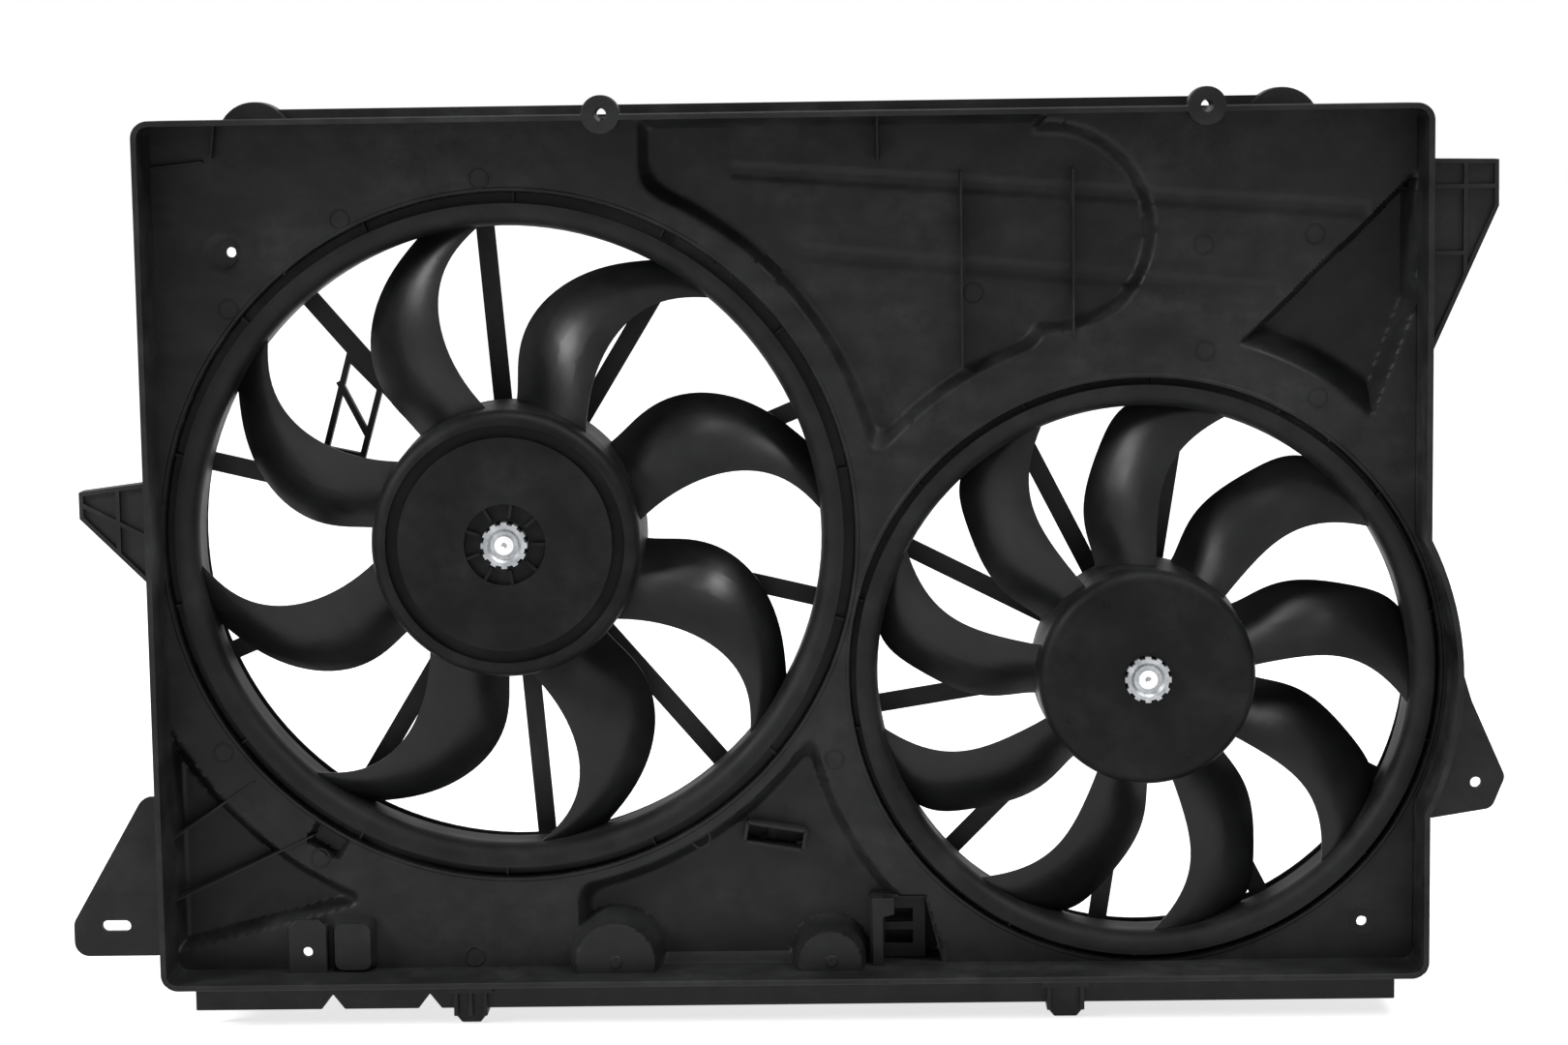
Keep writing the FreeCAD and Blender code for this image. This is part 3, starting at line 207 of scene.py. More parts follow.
metalLook = {
    "canSteel": {"dark": (0.012, 0.012, 0.013), "light": (0.02, 0.02, 0.022), "cloud": 25.0,
                 "streak": 60.0, "streakStretch": (1.0, 8.0, 1.0), "roughLow": 0.32, "roughHigh": 0.5,
                 "metallic": 0.15, "bump": 0.12},
    "zincSteel": {"dark": (0.42, 0.43, 0.42), "light": (0.58, 0.58, 0.56), "cloud": 70.0,
                  "streak": 120.0, "streakStretch": (1.0, 1.0, 5.0), "roughLow": 0.28, "roughHigh": 0.45,
                  "metallic": 1.0, "bump": 0.15},
    "insertMetal": {"dark": (0.20, 0.21, 0.22), "light": (0.38, 0.39, 0.40), "cloud": 160.0,
                    "streak": 300.0, "streakStretch": (1.0, 1.0, 1.0), "roughLow": 0.34,
                    "roughHigh": 0.5, "metallic": 1.0, "bump": 0.25},
    "shaftSteel": {"dark": (0.5, 0.5, 0.51), "light": (0.66, 0.66, 0.67), "cloud": 120.0,
                   "streak": 200.0, "streakStretch": (1.0, 12.0, 1.0), "roughLow": 0.16,
                   "roughHigh": 0.28, "metallic": 1.0, "bump": 0.08},
    "coreSteel": {"dark": (0.09, 0.09, 0.095), "light": (0.16, 0.16, 0.165), "cloud": 60.0,
                  "streak": 900.0, "streakStretch": (0.05, 1.0, 0.05), "roughLow": 0.4,
                  "roughHigh": 0.6, "metallic": 0.8, "bump": 0.5},
    "copper": {"dark": (0.42, 0.15, 0.06), "light": (0.62, 0.26, 0.11), "cloud": 90.0,
               "streak": 500.0, "streakStretch": (1.0, 0.2, 1.0), "roughLow": 0.22, "roughHigh": 0.36,
               "metallic": 0.95, "bump": 0.5},
    "bronze": {"dark": (0.28, 0.17, 0.07), "light": (0.42, 0.27, 0.12), "cloud": 140.0,
               "streak": 600.0, "streakStretch": (1.0, 1.0, 1.0), "roughLow": 0.4, "roughHigh": 0.55,
               "metallic": 0.9, "bump": 0.3},
    "ferrite": {"dark": (0.035, 0.035, 0.037), "light": (0.06, 0.06, 0.062), "cloud": 120.0,
                "streak": 700.0, "streakStretch": (1.0, 1.0, 1.0), "roughLow": 0.5, "roughHigh": 0.7,
                "metallic": 0.2, "bump": 0.4},
    "tinnedBrass": {"dark": (0.5, 0.46, 0.36), "light": (0.64, 0.6, 0.5), "cloud": 150.0,
                    "streak": 300.0, "streakStretch": (1.0, 1.0, 6.0), "roughLow": 0.25,
                    "roughHigh": 0.4, "metallic": 1.0, "bump": 0.12},
}


def streakedMetal(name, look):
    # a cloudy tarnish with streaks along the way it was drawn, rolled or wound
    base = metalGrain
    mat, tree, shader = nodeTree(name)
    cloud = noise(tree, look["cloud"], base["cloudDetail"])
    streak = noise(tree, look["streak"], base["streakDetail"], base["streakRough"], look["streakStretch"])
    tree.links.new(blendColour(tree, cloud, look["dark"], look["light"]), shader.inputs["Base Color"])
    tree.links.new(spread(tree, streak, look["roughLow"], look["roughHigh"]), shader.inputs["Roughness"])
    shader.inputs["Metallic"].default_value = look["metallic"]
    addBump(tree, shader, [(streak, look["bump"], base["streakDepth"])])
    return mat


finish = {name: mouldedPlastic(name + "Finish", look) for name, look in plasticLook.items()}
finish.update({name: streakedMetal(name + "Finish", look) for name, look in metalLook.items()})

slotFinish = {
    "shroud_plastic": "shroud", "fan_plastic": "fan", "motor_steel": "canSteel",
    "bearing_bronze": "bronze", "zinc_steel": "zincSteel", "ferrite": "ferrite",
    "card_resin": "card", "carbon": "carbon", "socket_plastic": "socket",
    "tinned_brass": "tinnedBrass", "insert_metal": "insertMetal", "shaft_steel": "shaftSteel",
    "core_steel": "coreSteel", "copper": "copper", "commutator_copper": "copper",
}
endingShadedFinish = {"_fan_ring": "ring", "_hub": "hub"}  # rings and hubs are duller than the blades, and their darker base colour is painted shade


def finishOf(part):
    # rings and hubs take the darker copies of the fan plastic, which hold painted shade
    for ending, look in endingShadedFinish.items():
        if part["node"].endswith(ending):
            return finish[look]
    return finish[slotFinish[part["material_slot"]]]


for part in frame["record"]["subparts"]:
    materials = nodes[part["node"]].data.materials
    materials.clear()
    materials.append(finishOf(part))
print("materials set")


def addPiece(name, mesh, look, body, smoothAngle):
    for poly in mesh.polygons:
        poly.use_smooth = True
    mesh.materials.clear()
    mesh.materials.append(finish[look])
    obj = bpy.data.objects.new(name, mesh)
    bpy.context.collection.objects.link(obj)
    mesh.set_sharp_from_angle(angle=math.radians(smoothAngle))
    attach(obj, body)
    return obj


def meshFrom(name, points, faces):
    mesh = bpy.data.meshes.new(name)
    mesh.from_pydata([(x * mm, y * mm, z * mm) for x, y, z in points], [], faces)
    mesh.validate()
    bm = bmesh.new()
    bm.from_mesh(mesh)
    bmesh.ops.recalc_face_normals(bm, faces=bm.faces)
    bm.to_mesh(mesh)
    bm.free()
    return mesh


def addShapes(name, shapes, smoothAngle=30, look="shroud", body="shroud"):
    # one piece from several shapes, each given as (points, faces)
    points, faces = [], []
    for shapePoints, shapeFaces in shapes:
        base = len(points)
        points += shapePoints
        faces += [tuple(base + i for i in face) for face in shapeFaces]
    return addPiece(name, meshFrom(name, points, faces), look, body, smoothAngle)


def around(middle, radius, angle):
    return middle[0] + radius * math.cos(angle), middle[1] + radius * math.sin(angle)


def turnedRing(middle, profile, count):
    # a closed profile of (radius, y) turned about an axis along y
    points = []
    for k in range(count):
        a = math.radians(360.0 * k / count)
        for r, y in profile:
            x, z = around(middle, r, a)
            points.append((x, y, z))
    n = len(profile)
    faces = []
    for k in range(count):
        here, there = k * n, (k + 1) % count * n
        for i in range(n):
            j = (i + 1) % n
            faces.append((here + i, here + j, there + j, there + i))
    return points, faces


def bar(x0, z0, x1, z1, width, yFront, yBack, taper=0.0):
    # a straight rib between two points, each side drawn in by the taper at its front
    length = math.hypot(x1 - x0, z1 - z0)
    ux, uz = (x1 - x0) / length, (z1 - z0) / length
    points = []
    for y, half in ((yFront, width / 2 - taper), (yBack, width / 2)):
        for along, side in ((0, -1), (length, -1), (length, 1), (0, 1)):
            points.append((x0 + ux * along - uz * half * side, y, z0 + uz * along + ux * half * side))
    faces = [(0, 1, 2, 3), (7, 6, 5, 4), (0, 4, 5, 1), (1, 5, 6, 2), (2, 6, 7, 3), (3, 7, 4, 0)]
    return points, faces


edgeLook = {"angle": 40, "segments": 2}  # edges that bend by more degrees than this are rounded


def roundEdges(obj, width):
    bevel = obj.modifiers.new("softEdge", "BEVEL")
    bevel.width = width * mm
    bevel.segments = edgeLook["segments"]
    bevel.limit_method = "ANGLE"
    bevel.angle_limit = math.radians(edgeLook["angle"])
    obj.modifiers.new("evenShade", "WEIGHTED_NORMAL").keep_sharp = True


floorLook = {
    # the flat floor: mesh size, y of its front, gauge, and an outline tucked in behind the rim
    "cell": 1.6, "front": 36.0, "thickness": 3.0,
    "halfWidth": 333.0, "halfHeight": 227.0, "bulge": 161.4, "bulgeRoom": 22.0, "tuck": 2.0,
    # openings: two round ones for the fans, a leaning window, two slots (x, z, length, width, turn), holes
    "leftOpening": 184.0, "rightOpening": 157.0, "window": (42.0, 71.7, -190.5, 0.245),
    "vent": (-9.1, -157.4, 30.0, 9.0, -9.5), "behindLug": (-261.2, -215.5, 13.5, 20.0, 0.0),
    "holes": ((-292.0, 160.3, 2.8), (305.4, -206.9, 2.9)),
    # relief along the top, which ends in a round lobe over the small fan
    "topDepth": 11.0, "topWall": 7.0, "topRound": 13.0, "topLeftEdge": -77.0,
    "topLeftBand": 12.5, "topRightBand": 24.5, "lobe": (139.0, 166.0, 57.5),
    # relief between the fans at the bottom
    "lowDepth": 11.0, "lowWall": 6.5, "lowRound": 9.0, "lowLeftBand": 7.0, "lowRightBand": 21.0,
    "lowLeft": -116.0, "lowRight": 80.0, "lowTop": -60.0,
    # relief in the bottom left corner, above a leaning line
    "cornerDepth": 11.0, "cornerWall": 6.0, "cornerRound": 5.0, "cornerBand": 26.5,
    "cornerRight": -233.0, "cornerLine": (-333.0, -218.0, -233.0, -192.0),
    # recess at the large fan's edge: its turn and half sweep in degrees, its width and its depth
    "notch": (58.0, 3.2, 15.0, 8.0), "notchRound": 3.0, "notchWall": 2.5,
    # three-sided pocket at top right, with one curved side about the small fan
    "pocketDepth": 21.0, "pocketTop": (238.0, 104.0, 330.0, 192.5), "pocketTopWall": 5.0,
    "pocketArc": 179.5, "pocketArcWall": 16.0, "pocketSide": (308.4, 60.5, 329.5, 116.5),
    "pocketSideWall": 6.0, "pocketFrom": 225.0, "pocketFromWall": 1.0,
    # raised pads: half-round bosses (x, z, radius) and the keeper's block (x, z, half sizes)
    "halfBosses": ((-95.4, -221.4, 25.5), (19.8, -222.6, 21.0)), "bossRise": 17.0, "bossWall": 4.2,
    "keeper": (-237.0, -213.0, 12.0, 15.0), "keeperRound": 5.0, "keeperRise": 10.0, "keeperWall": 2.4,
    # shallow bands along the top and the sunk ring of the locator (x, z, radius, depth)
    "bands": ((-27.8, 199.6, 308.0, 174.4), (8.3, 155.7, 261.8, 132.2)), "bandWidth": 9.0,
    "bandDepth": 1.1, "bandWall": 1.7, "locator": (-296.0, 160.3, 9.5, 1.6), "locatorWall": 1.6,
}

# how the mesh meets openings, walls and the rim: reaches in cells, slopes as ratios, the rest in mm
gridLook = {
    "openingReach": 0.75, "creaseReach": 0.5, "faceReach": 0.2, "edgeSlack": 0.2, "rimDepth": 2.0,
    "step": 0.05, "slopeLow": 0.5, "slopeHigh": 2.0, "pocketNear": 1.0, "farOff": 99.0,
}


def softMax(a, b, k):
    # the larger of two distances, with a round of about k where they meet
    h = max(k - abs(a - b), 0.0) / k
    return max(a, b) + h * h * k * 0.25


def ramp(d, width):
    # a flat slope from 0 at an edge to 1 inside it, with short rounds at its two ends
    soft = 0.2  # the share of the width that each round takes
    t = min(max(-d / width, 0.0), 1.0)
    scale = 1.0 / (2 * soft * (1 - soft))
    if t < soft:
        return t * t * scale
    if t > 1 - soft:
        return 1 - (1 - t) * (1 - t) * scale
    return (t - soft / 2) / (1 - soft)


def halfPlane(x, z, x0, z0, x1, z1):
    # distance from the line through two points, positive on its right-hand side
    length = math.hypot(x1 - x0, z1 - z0)
    return ((x - x0) * (z1 - z0) - (z - z0) * (x1 - x0)) / length


def fromHubs(x, z):
    return (math.hypot(x - leftHub[0], z - leftHub[1]), math.hypot(x - rightHub[0], z - rightHub[1]))


def trayEdge(x, z):
    # distance outside the floor's outline: a rectangle with a round bulge at the small fan
    f = floorLook
    plain = max(abs(x) - f["halfWidth"], abs(z) - f["halfHeight"])
    swell = max(fromHubs(x, z)[1] - f["bulge"], abs(z) - f["halfHeight"])
    return min(plain, swell)


def topRelief(x, z):
    f = floorLook
    k = f["topRound"]
    fromLeft, fromRight = fromHubs(x, z)
    lobeX, lobeZ, lobeRadius = f["lobe"]
    d = min(x - lobeX, math.hypot(x - lobeX, z - lobeZ) - lobeRadius)
    d = softMax(d, f["leftOpening"] + f["topLeftBand"] - fromLeft, k)
    d = softMax(d, f["rightOpening"] + f["topRightBand"] - fromRight, k)
    d = softMax(d, f["topLeftEdge"] - x, k)
    return max(d, leftHub[1] - z)


def lowRelief(x, z):
    f = floorLook
    k = f["lowRound"]
    fromLeft, fromRight = fromHubs(x, z)
    d = softMax(f["leftOpening"] + f["lowLeftBand"] - fromLeft,
                f["rightOpening"] + f["lowRightBand"] - fromRight, k)
    d = softMax(softMax(d, f["lowLeft"] - x, k), x - f["lowRight"], k)
    return max(d, z - f["lowTop"])


def cornerRelief(x, z):
    f = floorLook
    k = f["cornerRound"]
    d = softMax(f["leftOpening"] + f["cornerBand"] - fromHubs(x, z)[0], x - f["cornerRight"], k)
    d = softMax(d, halfPlane(x, z, *f["cornerLine"]), k)
    return max(d, z - leftHub[1])


def notchRelief(x, z):
    f = floorLook
    middle, halfSweep, width, _ = f["notch"]
    fromLeft = fromHubs(x, z)[0]
    turn = math.degrees(math.atan2(leftHub[1] - z, leftHub[0] - x))
    return softMax(fromLeft - f["leftOpening"] - width,
                   math.radians(abs(turn - middle) - halfSweep) * fromLeft, f["notchRound"])


def reliefs(x, z):
    # each sunk region as (distance outside its edge, width of its sloping wall, depth)
    f = floorLook
    edge = trayEdge(x, z) - f["tuck"]
    return [(max(topRelief(x, z), edge), f["topWall"], f["topDepth"]),
            (max(lowRelief(x, z), edge), f["lowWall"], f["lowDepth"]),
            (max(cornerRelief(x, z), edge), f["cornerWall"], f["cornerDepth"]),
            (notchRelief(x, z), f["notchWall"], f["notch"][3])]


def pocketSides(x, z):
    # the three-sided pocket as (distance outside one side, width of that side's wall)
    f = floorLook
    return [(-halfPlane(x, z, *f["pocketTop"]), f["pocketTopWall"]),
            (f["pocketArc"] - fromHubs(x, z)[1], f["pocketArcWall"]),
            (halfPlane(x, z, *f["pocketSide"]), f["pocketSideWall"]),
            (x - f["halfWidth"], f["pocketSideWall"]),
            (f["pocketFrom"] - x, f["pocketFromWall"])]


def raisedPads(x, z):
    # each raised pad as (distance outside its foot, width of its wall, rise)
    f = floorLook
    pads = [(math.hypot(x - bx, z - bz) - radius, f["bossWall"], f["bossRise"])
            for bx, bz, radius in f["halfBosses"]]
    kx, kz, kw, kh = f["keeper"]
    block = softMax(abs(x - kx) - kw, abs(z - kz) - kh, f["keeperRound"])
    pads.append((block, f["keeperWall"], f["keeperRise"]))
    return pads


def floorY(x, z):
    # y of the floor's front face: sunk by reliefs, pocket, bands and locator, raised by the pads
    f = floorLook
    depth = max(deep * ramp(d, wall) for d, wall, deep in reliefs(x, z))
    depth = max(depth, f["pocketDepth"] * min(ramp(d, wall) for d, wall in pocketSides(x, z)))
    for x0, z0, x1, z1 in f["bands"]:
        length = math.hypot(x1 - x0, z1 - z0)
        across = abs(halfPlane(x, z, x0, z0, x1, z1)) - f["bandWidth"] / 2
        along = abs(((x - x0) * (x1 - x0) + (z - z0) * (z1 - z0)) / length - length / 2) - length / 2
        depth += f["bandDepth"] * ramp(max(across, along), f["bandWall"])
    cx, cz, radius, deep = f["locator"]
    depth += deep * ramp(math.hypot(x - cx, z - cz) - radius, f["locatorWall"])
    y = f["front"] + depth
    for d, wall, rise in raisedPads(x, z):
        y += (f["front"] - rise - y) * ramp(d, wall)
    return y


def creases(x, z):
    # distances to the lines where the floor bends: the edge and the foot of every wall
    lines = []
    for d, wall, _ in reliefs(x, z) + raisedPads(x, z):
        lines += [d, d + wall]
    sides = pocketSides(x, z)
    atPocket = max(d for d, _ in sides) < gridLook["pocketNear"]
    for d, wall in sides:
        lines += [d, d + wall] if atPocket else [gridLook["farOff"]] * 2
    return lines


def toCrease(x, z, reach):
    # move a point that lies near a bend on to it, so that the bend runs clean through the mesh
    g = gridLook
    lines = creases(x, z)
    k = min(range(len(lines)), key=lambda i: abs(lines[i]))
    gap = lines[k]
    if abs(gap) > reach:
        return x, z
    gx = (creases(x + g["step"], z)[k] - gap) / g["step"]
    gz = (creases(x, z + g["step"])[k] - gap) / g["step"]
    slope = gx * gx + gz * gz  # 1 for a plain distance, other values where two regions meet
    if slope < g["slopeLow"] or slope > g["slopeHigh"]:
        return x, z
    return x - gap * gx / slope, z - gap * gz / slope


def slotEdge(x, z, slot):
    # distance outside a turned rectangle, with the direction away from it
    cx, cz, length, width, turn = slot
    c, s = math.cos(math.radians(turn)), math.sin(math.radians(turn))
    u, v = (x - cx) * c + (z - cz) * s, (z - cz) * c - (x - cx) * s
    if abs(u) - length / 2 > abs(v) - width / 2:
        side = math.copysign(1, u)
        return abs(u) - length / 2, side * c, side * s
    side = math.copysign(1, v)
    return abs(v) - width / 2, -side * s, side * c


def windowEdge(x, z):
    # the same for the catch window: a straight left side, a level top and a leaning right side
    left, right, top, lean = floorLook["window"]
    size = math.hypot(1, lean)
    return max((left - x, -1, 0), (z - top, 0, 1),
               ((x - right - (top - z) * lean) / size, 1 / size, lean / size))


def nearestOpening(x, z):
    # distance outside the nearest opening of the floor, with the direction away from it
    f = floorLook
    found = [slotEdge(x, z, f["vent"]), slotEdge(x, z, f["behindLug"]), windowEdge(x, z)]
    for cx, cz, r in [(*leftHub, f["leftOpening"]), (*rightHub, f["rightOpening"]), *f["holes"]]:
        d = max(math.hypot(x - cx, z - cz), 0.001)  # never 0, as it divides
        found.append((d - r, (x - cx) / d, (z - cz) / d))
    return min(found)


def floorPoint(x, z):
    # a grid point moved on to an opening's edge or a bend, or None outside the floor
    f, g = floorLook, gridLook
    if trayEdge(x, z) > f["tuck"] + g["edgeSlack"]:
        return None
    gap, outX, outZ = nearestOpening(x, z)
    reach = g["openingReach"] * f["cell"]
    if gap < -reach:
        return None
    if gap < reach:
        x -= outX * gap
        z -= outZ * gap
    else:
        x, z = toCrease(x, z, g["creaseReach"] * f["cell"])
    y = floorY(x, z)
    if trayEdge(x, z) > f["tuck"] - f["cell"]:
        y = min(y, f["front"] + g["rimDepth"])  # a sunk floor rises to the rim at its outermost points
    return x, y, z


def floorGrid():
    f = floorLook
    cell = f["cell"]
    cols = int((f["halfWidth"] * 2 + f["bulgeRoom"]) / cell) + 1
    rows = int((f["halfHeight"] * 2 + 2 * f["tuck"]) / cell) + 1
    index, points, faces = {}, [], []
    for i in range(cols):
        for j in range(rows):
            x = -f["halfWidth"] - f["tuck"] + i * cell
            z = -f["halfHeight"] - f["tuck"] + j * cell
            point = floorPoint(x, z)
            if point:
                index[i, j] = len(points)
                points.append(point)
    for i in range(cols - 1):
        for j in range(rows - 1):
            ring = [index.get(key) for key in ((i, j), (i + 1, j), (i + 1, j + 1), (i, j + 1))]
            if None in ring:
                continue
            x = sum(points[k][0] for k in ring) / 4
            z = sum(points[k][2] for k in ring) / 4
            if nearestOpening(x, z)[0] > -gridLook["faceReach"] * cell:
                faces.append(tuple(ring))
    return points, faces


def makeTrayFloor():
    mesh = meshFrom("trayFloor", *floorGrid())
    bm = bmesh.new()
    bm.from_mesh(mesh)
    bmesh.ops.delete(bm, geom=[v for v in bm.verts if not v.link_faces], context="VERTS")
    if sum(face.normal.y for face in bm.faces) > 0:
        bmesh.ops.reverse_faces(bm, faces=bm.faces)  # faces look to the front, and the shell grows back
    bm.to_mesh(mesh)
    bm.free()
    floor = addPiece("trayFloor", mesh, "shroud", "shroud", 50)
    shell = floor.modifiers.new("shell", "SOLIDIFY")
    shell.thickness = floorLook["thickness"] * mm
    shell.offset = -1.0
    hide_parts("shroud_floor")


# profiles as (outward, back) from an opening's edge on the floor's front
openingLook = {
    "lip": ((-0.2, 0.8), (0.5, -0.5), (1.9, -0.5), (2.9, 0.4), (2.6, 2.6), (-0.2, 2.9)), "lipSteps": 220,
    "holeRim": ((0.0, 0.0), (4.0, -0.25), (4.2, 0.5)), "holeBack": 3.0, "holeSteps": 40,
}


def makeOpeningEdges():
    # a rolled lip round each fan's opening and a low rim round each plain hole
    f, look = floorLook, openingLook
    shapes = []
    for hub, radius in ((leftHub, f["leftOpening"]), (rightHub, f["rightOpening"])):
        profile = [(radius + out, f["front"] + back) for out, back in look["lip"]]
        shapes.append(turnedRing(hub, profile, look["lipSteps"]))
    for x, z, radius in f["holes"]:
        seat = f["front"] + (f["locator"][3] if x < 0 else 0.0)  # the left hole is in the sunk locator
        profile = [(radius + out, seat + back) for out, back in look["holeRim"]]
        profile.append((radius, f["front"] + look["holeBack"]))
        shapes.append(turnedRing((x, z), profile, look["holeSteps"]))
    addShapes("openingEdges", shapes, smoothAngle=40)


# each set of ribs as lines (x, z to x, z), width, rise over the floor, root behind its front, and taper
ribLook = {
    "topPair": {"lines": ((93.7, 94.5, 93.7, 197.3), (152.5, 108.6, 152.5, 198.0)),
                "width": 1.7, "rise": 1.0, "root": 10.5, "taper": 0.4},
    "topStub": {"lines": ((50.0, 204.0, 50.0, 227.0),),
                "width": 2.4, "rise": 1.0, "root": 10.5, "taper": 0.6},
    "leftPair": {"lines": ((-334.0, -155.0, -288.8, -124.0), (-334.0, -189.0, -257.8, -153.6)),
                 "width": 1.9, "rise": 1.5, "root": 10.0, "taper": 0.5},
    "cornerSide": {"lines": ((-334.0, 205.0, -305.0, 208.0),),
                   "width": 1.9, "rise": 3.0, "root": 1.0, "taper": 0.5},
    "cornerTop": {"lines": ((-300.0, 210.0, -298.0, 227.0),),
                  "width": 1.9, "rise": 6.0, "root": 1.0, "taper": 0.5},
}


def makeFloorRibs():
    y = floorLook["front"]
    shapes = []
    for look in ribLook.values():
        for line in look["lines"]:
            shapes.append(bar(*line, look["width"], y - look["rise"], y + look["root"], look["taper"]))
    addShapes("floorRibs", shapes)


# each rib runs from just clear of the fan's lip to a little past the opening's edge
gapLook = {
    "leftLip": 178.0, "rightLip": 153.6, "clear": 0.9, "overlap": 0.3, "count": 14, "first": 11.0,
    "width": 1.8, "taper": 0.3, "front": 40.6, "back": 44.0,
}


def makeGapRibs():
    # small ribs on the ledge of each barrel, in the gap round the fan's lip
    look = gapLook
    shapes = []
    for hub, lip, opening in ((leftHub, look["leftLip"], floorLook["leftOpening"]),
                              (rightHub, look["rightLip"], floorLook["rightOpening"])):
        for k in range(look["count"]):
            a = math.radians(look["first"] + 360.0 * k / look["count"])
            ends = (*around(hub, lip + look["clear"], a), *around(hub, opening + look["overlap"], a))
            shapes.append(bar(*ends, look["width"], look["front"], look["back"], look["taper"]))
    addShapes("gapRibs", shapes)


# the core is a pinhole in the middle, so that no face shrinks to nothing
hubDotLook = {
    "count": 4, "first": 28.0, "at": 46.0, "radius": 2.0, "rise": 0.35, "bevel": 0.4, "root": 0.3,
    "core": 0.05, "steps": 28,
}


def makeHubDots():
    # raised dots on the small fan's hub, on the side away from the motor
    look = hubDotLook
    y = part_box("right_hub")[0].y / mm
    top, foot = y - look["rise"], y + look["root"]
    profile = [(look["core"], top), (look["radius"] - look["bevel"], top), (look["radius"], foot),
               (look["core"], foot)]
    shapes = []
    for k in range(look["count"]):
        a = math.radians(look["first"] + 360.0 * k / look["count"])
        shapes.append(turnedRing(around(rightHub, look["at"], a), profile, look["steps"]))
    # painted shade: the dots share the hub's darker base colour
    addShapes("hubDots", shapes, smoothAngle=40, look="hub", body="right_fan")


ejectorLook = {
    "radius": 5.0, "line": 0.55, "rise": 0.45, "sink": 0.05, "steps": 48,
    "at": ((-160.1, 197.1), (-234.2, 176.8), (-294.2, 130.2), (100.4, 132.9), (220.6, 157.1),
           (221.6, 101.6), (279.0, 161.9), (280.8, 76.0), (-304.8, -107.9), (-254.5, -166.0),
           (-172.3, -221.0), (-49.1, -158.0), (23.2, -114.9)),
}


def makeEjectorMarks():
    # the fine raised circles that ejector pins leave
    look = ejectorLook
    r, w = look["radius"], look["line"]
    shapes = []
    for x, z in look["at"]:
        y = floorY(x, z)
        top, foot = y - look["rise"], y + look["sink"]
        profile = [(r - w, foot), (r - w / 2, top), (r + w / 2, top), (r + w, foot)]
        shapes.append(turnedRing((x, z), profile, look["steps"]))
    addShapes("ejectorMarks", shapes, smoothAngle=60)


def drilledPlate(outline, hole, y0, y1, count):
    # a flat plate with one round hole: strips run from the hole's edge out to the outline
    hx, hz, hr = hole
    turns = [math.atan2(z - hz, x - hx) for x, z in outline]
    turns = sorted(turns + [math.pi * (2 * k / count - 1) for k in range(count)])
    points = []
    for a in turns:
        dx, dz = math.cos(a), math.sin(a)
        reaches = []
        for (x0, z0), (x1, z1) in zip(outline, outline[1:] + outline[:1]):
            cross = dx * (z1 - z0) - dz * (x1 - x0)
            if abs(cross) > 1e-9:  # a side along the ray has no crossing
                reaches.append(((x0 - hx) * (z1 - z0) - (z0 - hz) * (x1 - x0)) / cross)
        far = min(reach for reach in reaches if reach > 0)
        for y in (y0, y1):
            points += [(hx + hr * dx, y, hz + hr * dz), (hx + far * dx, y, hz + far * dz)]
    faces = []
    for k in range(len(turns)):
        a, b = 4 * k, 4 * ((k + 1) % len(turns))
        faces += [(a, a + 1, b + 1, b), (a + 2, b + 2, b + 3, a + 3), (a + 1, a + 3, b + 3, b + 1),
                  (a, b, b + 2, a + 2)]
    return points, faces


lugLook = {
    "left": -271.5, "right": -251.0, "low": -228.0, "top": -198.0, "clip": 4.0,
    "hole": (-261.25, -215.4, 2.6), "holeSteps": 40, "front": 26.0, "thickness": 3.0,
    "legDepth": 2.0, "edge": 0.5,
}


def makeLug():
    # a drilled plate with clipped corners, on two legs that reach a little into the floor
    look = lugLook
    left, right, low, top, clip = (look[key] for key in ("left", "right", "low", "top", "clip"))
    front, back = look["front"], look["front"] + look["thickness"]
    outline = [(left, low), (right, low), (right, top - clip), (right - clip, top), (left + clip, top),
               (left, top - clip)]
    shapes = [drilledPlate(outline, look["hole"], front, back, look["holeSteps"])]
    for x in (left, right - look["thickness"]):
        middle = x + look["thickness"] / 2
        shapes.append(bar(middle, low, middle, top - clip, look["thickness"], back,
                          floorLook["front"] + look["legDepth"]))
    roundEdges(addShapes("drilledLug", shapes), look["edge"])


cupLook = {
    "wall": 1.6, "sunk": 1.0, "ventDepth": 9.0, "windowLow": -228.0, "windowBack": 66.0,
    "ventRib": {"at": -1.5, "width": 5.0, "depth": 4.0},
}


def cupWalls(corners, wall, front, lowFront, back):
    # four walls round the corners, given from top left and on to the right; the low wall has its own front
    a, b, c, d = corners
    sides = ((a, b, front), (d, c, lowFront), (d, a, front), (c, b, front))
    return [bar(*start, *end, wall, y, back) for start, end, y in sides]


def ventCup():
    f, look = floorLook, cupLook
    wall, rib = look["wall"], look["ventRib"]
    cx, cz, length, width, turn = f["vent"]
    c, s = math.cos(math.radians(turn)), math.sin(math.radians(turn))
    front = f["front"] + look["sunk"]
    back = f["front"] + f["lowDepth"] + look["ventDepth"]
    long, high = length / 2 + wall / 2, width / 2 + wall / 2

    def at(u, v):  # u along the vent, v across it
        return cx + u * c - v * s, cz + u * s + v * c

    corners = (at(-long, high), at(long, high), at(long, -high), at(-long, -high))
    return cupWalls(corners, wall, front, front, back) + [
        bar(*at(-long, 0), *at(long, 0), width + wall, back - wall, back),
        bar(*at(rib["at"], -high), *at(rib["at"], high), rib["width"], back - rib["depth"], back)]


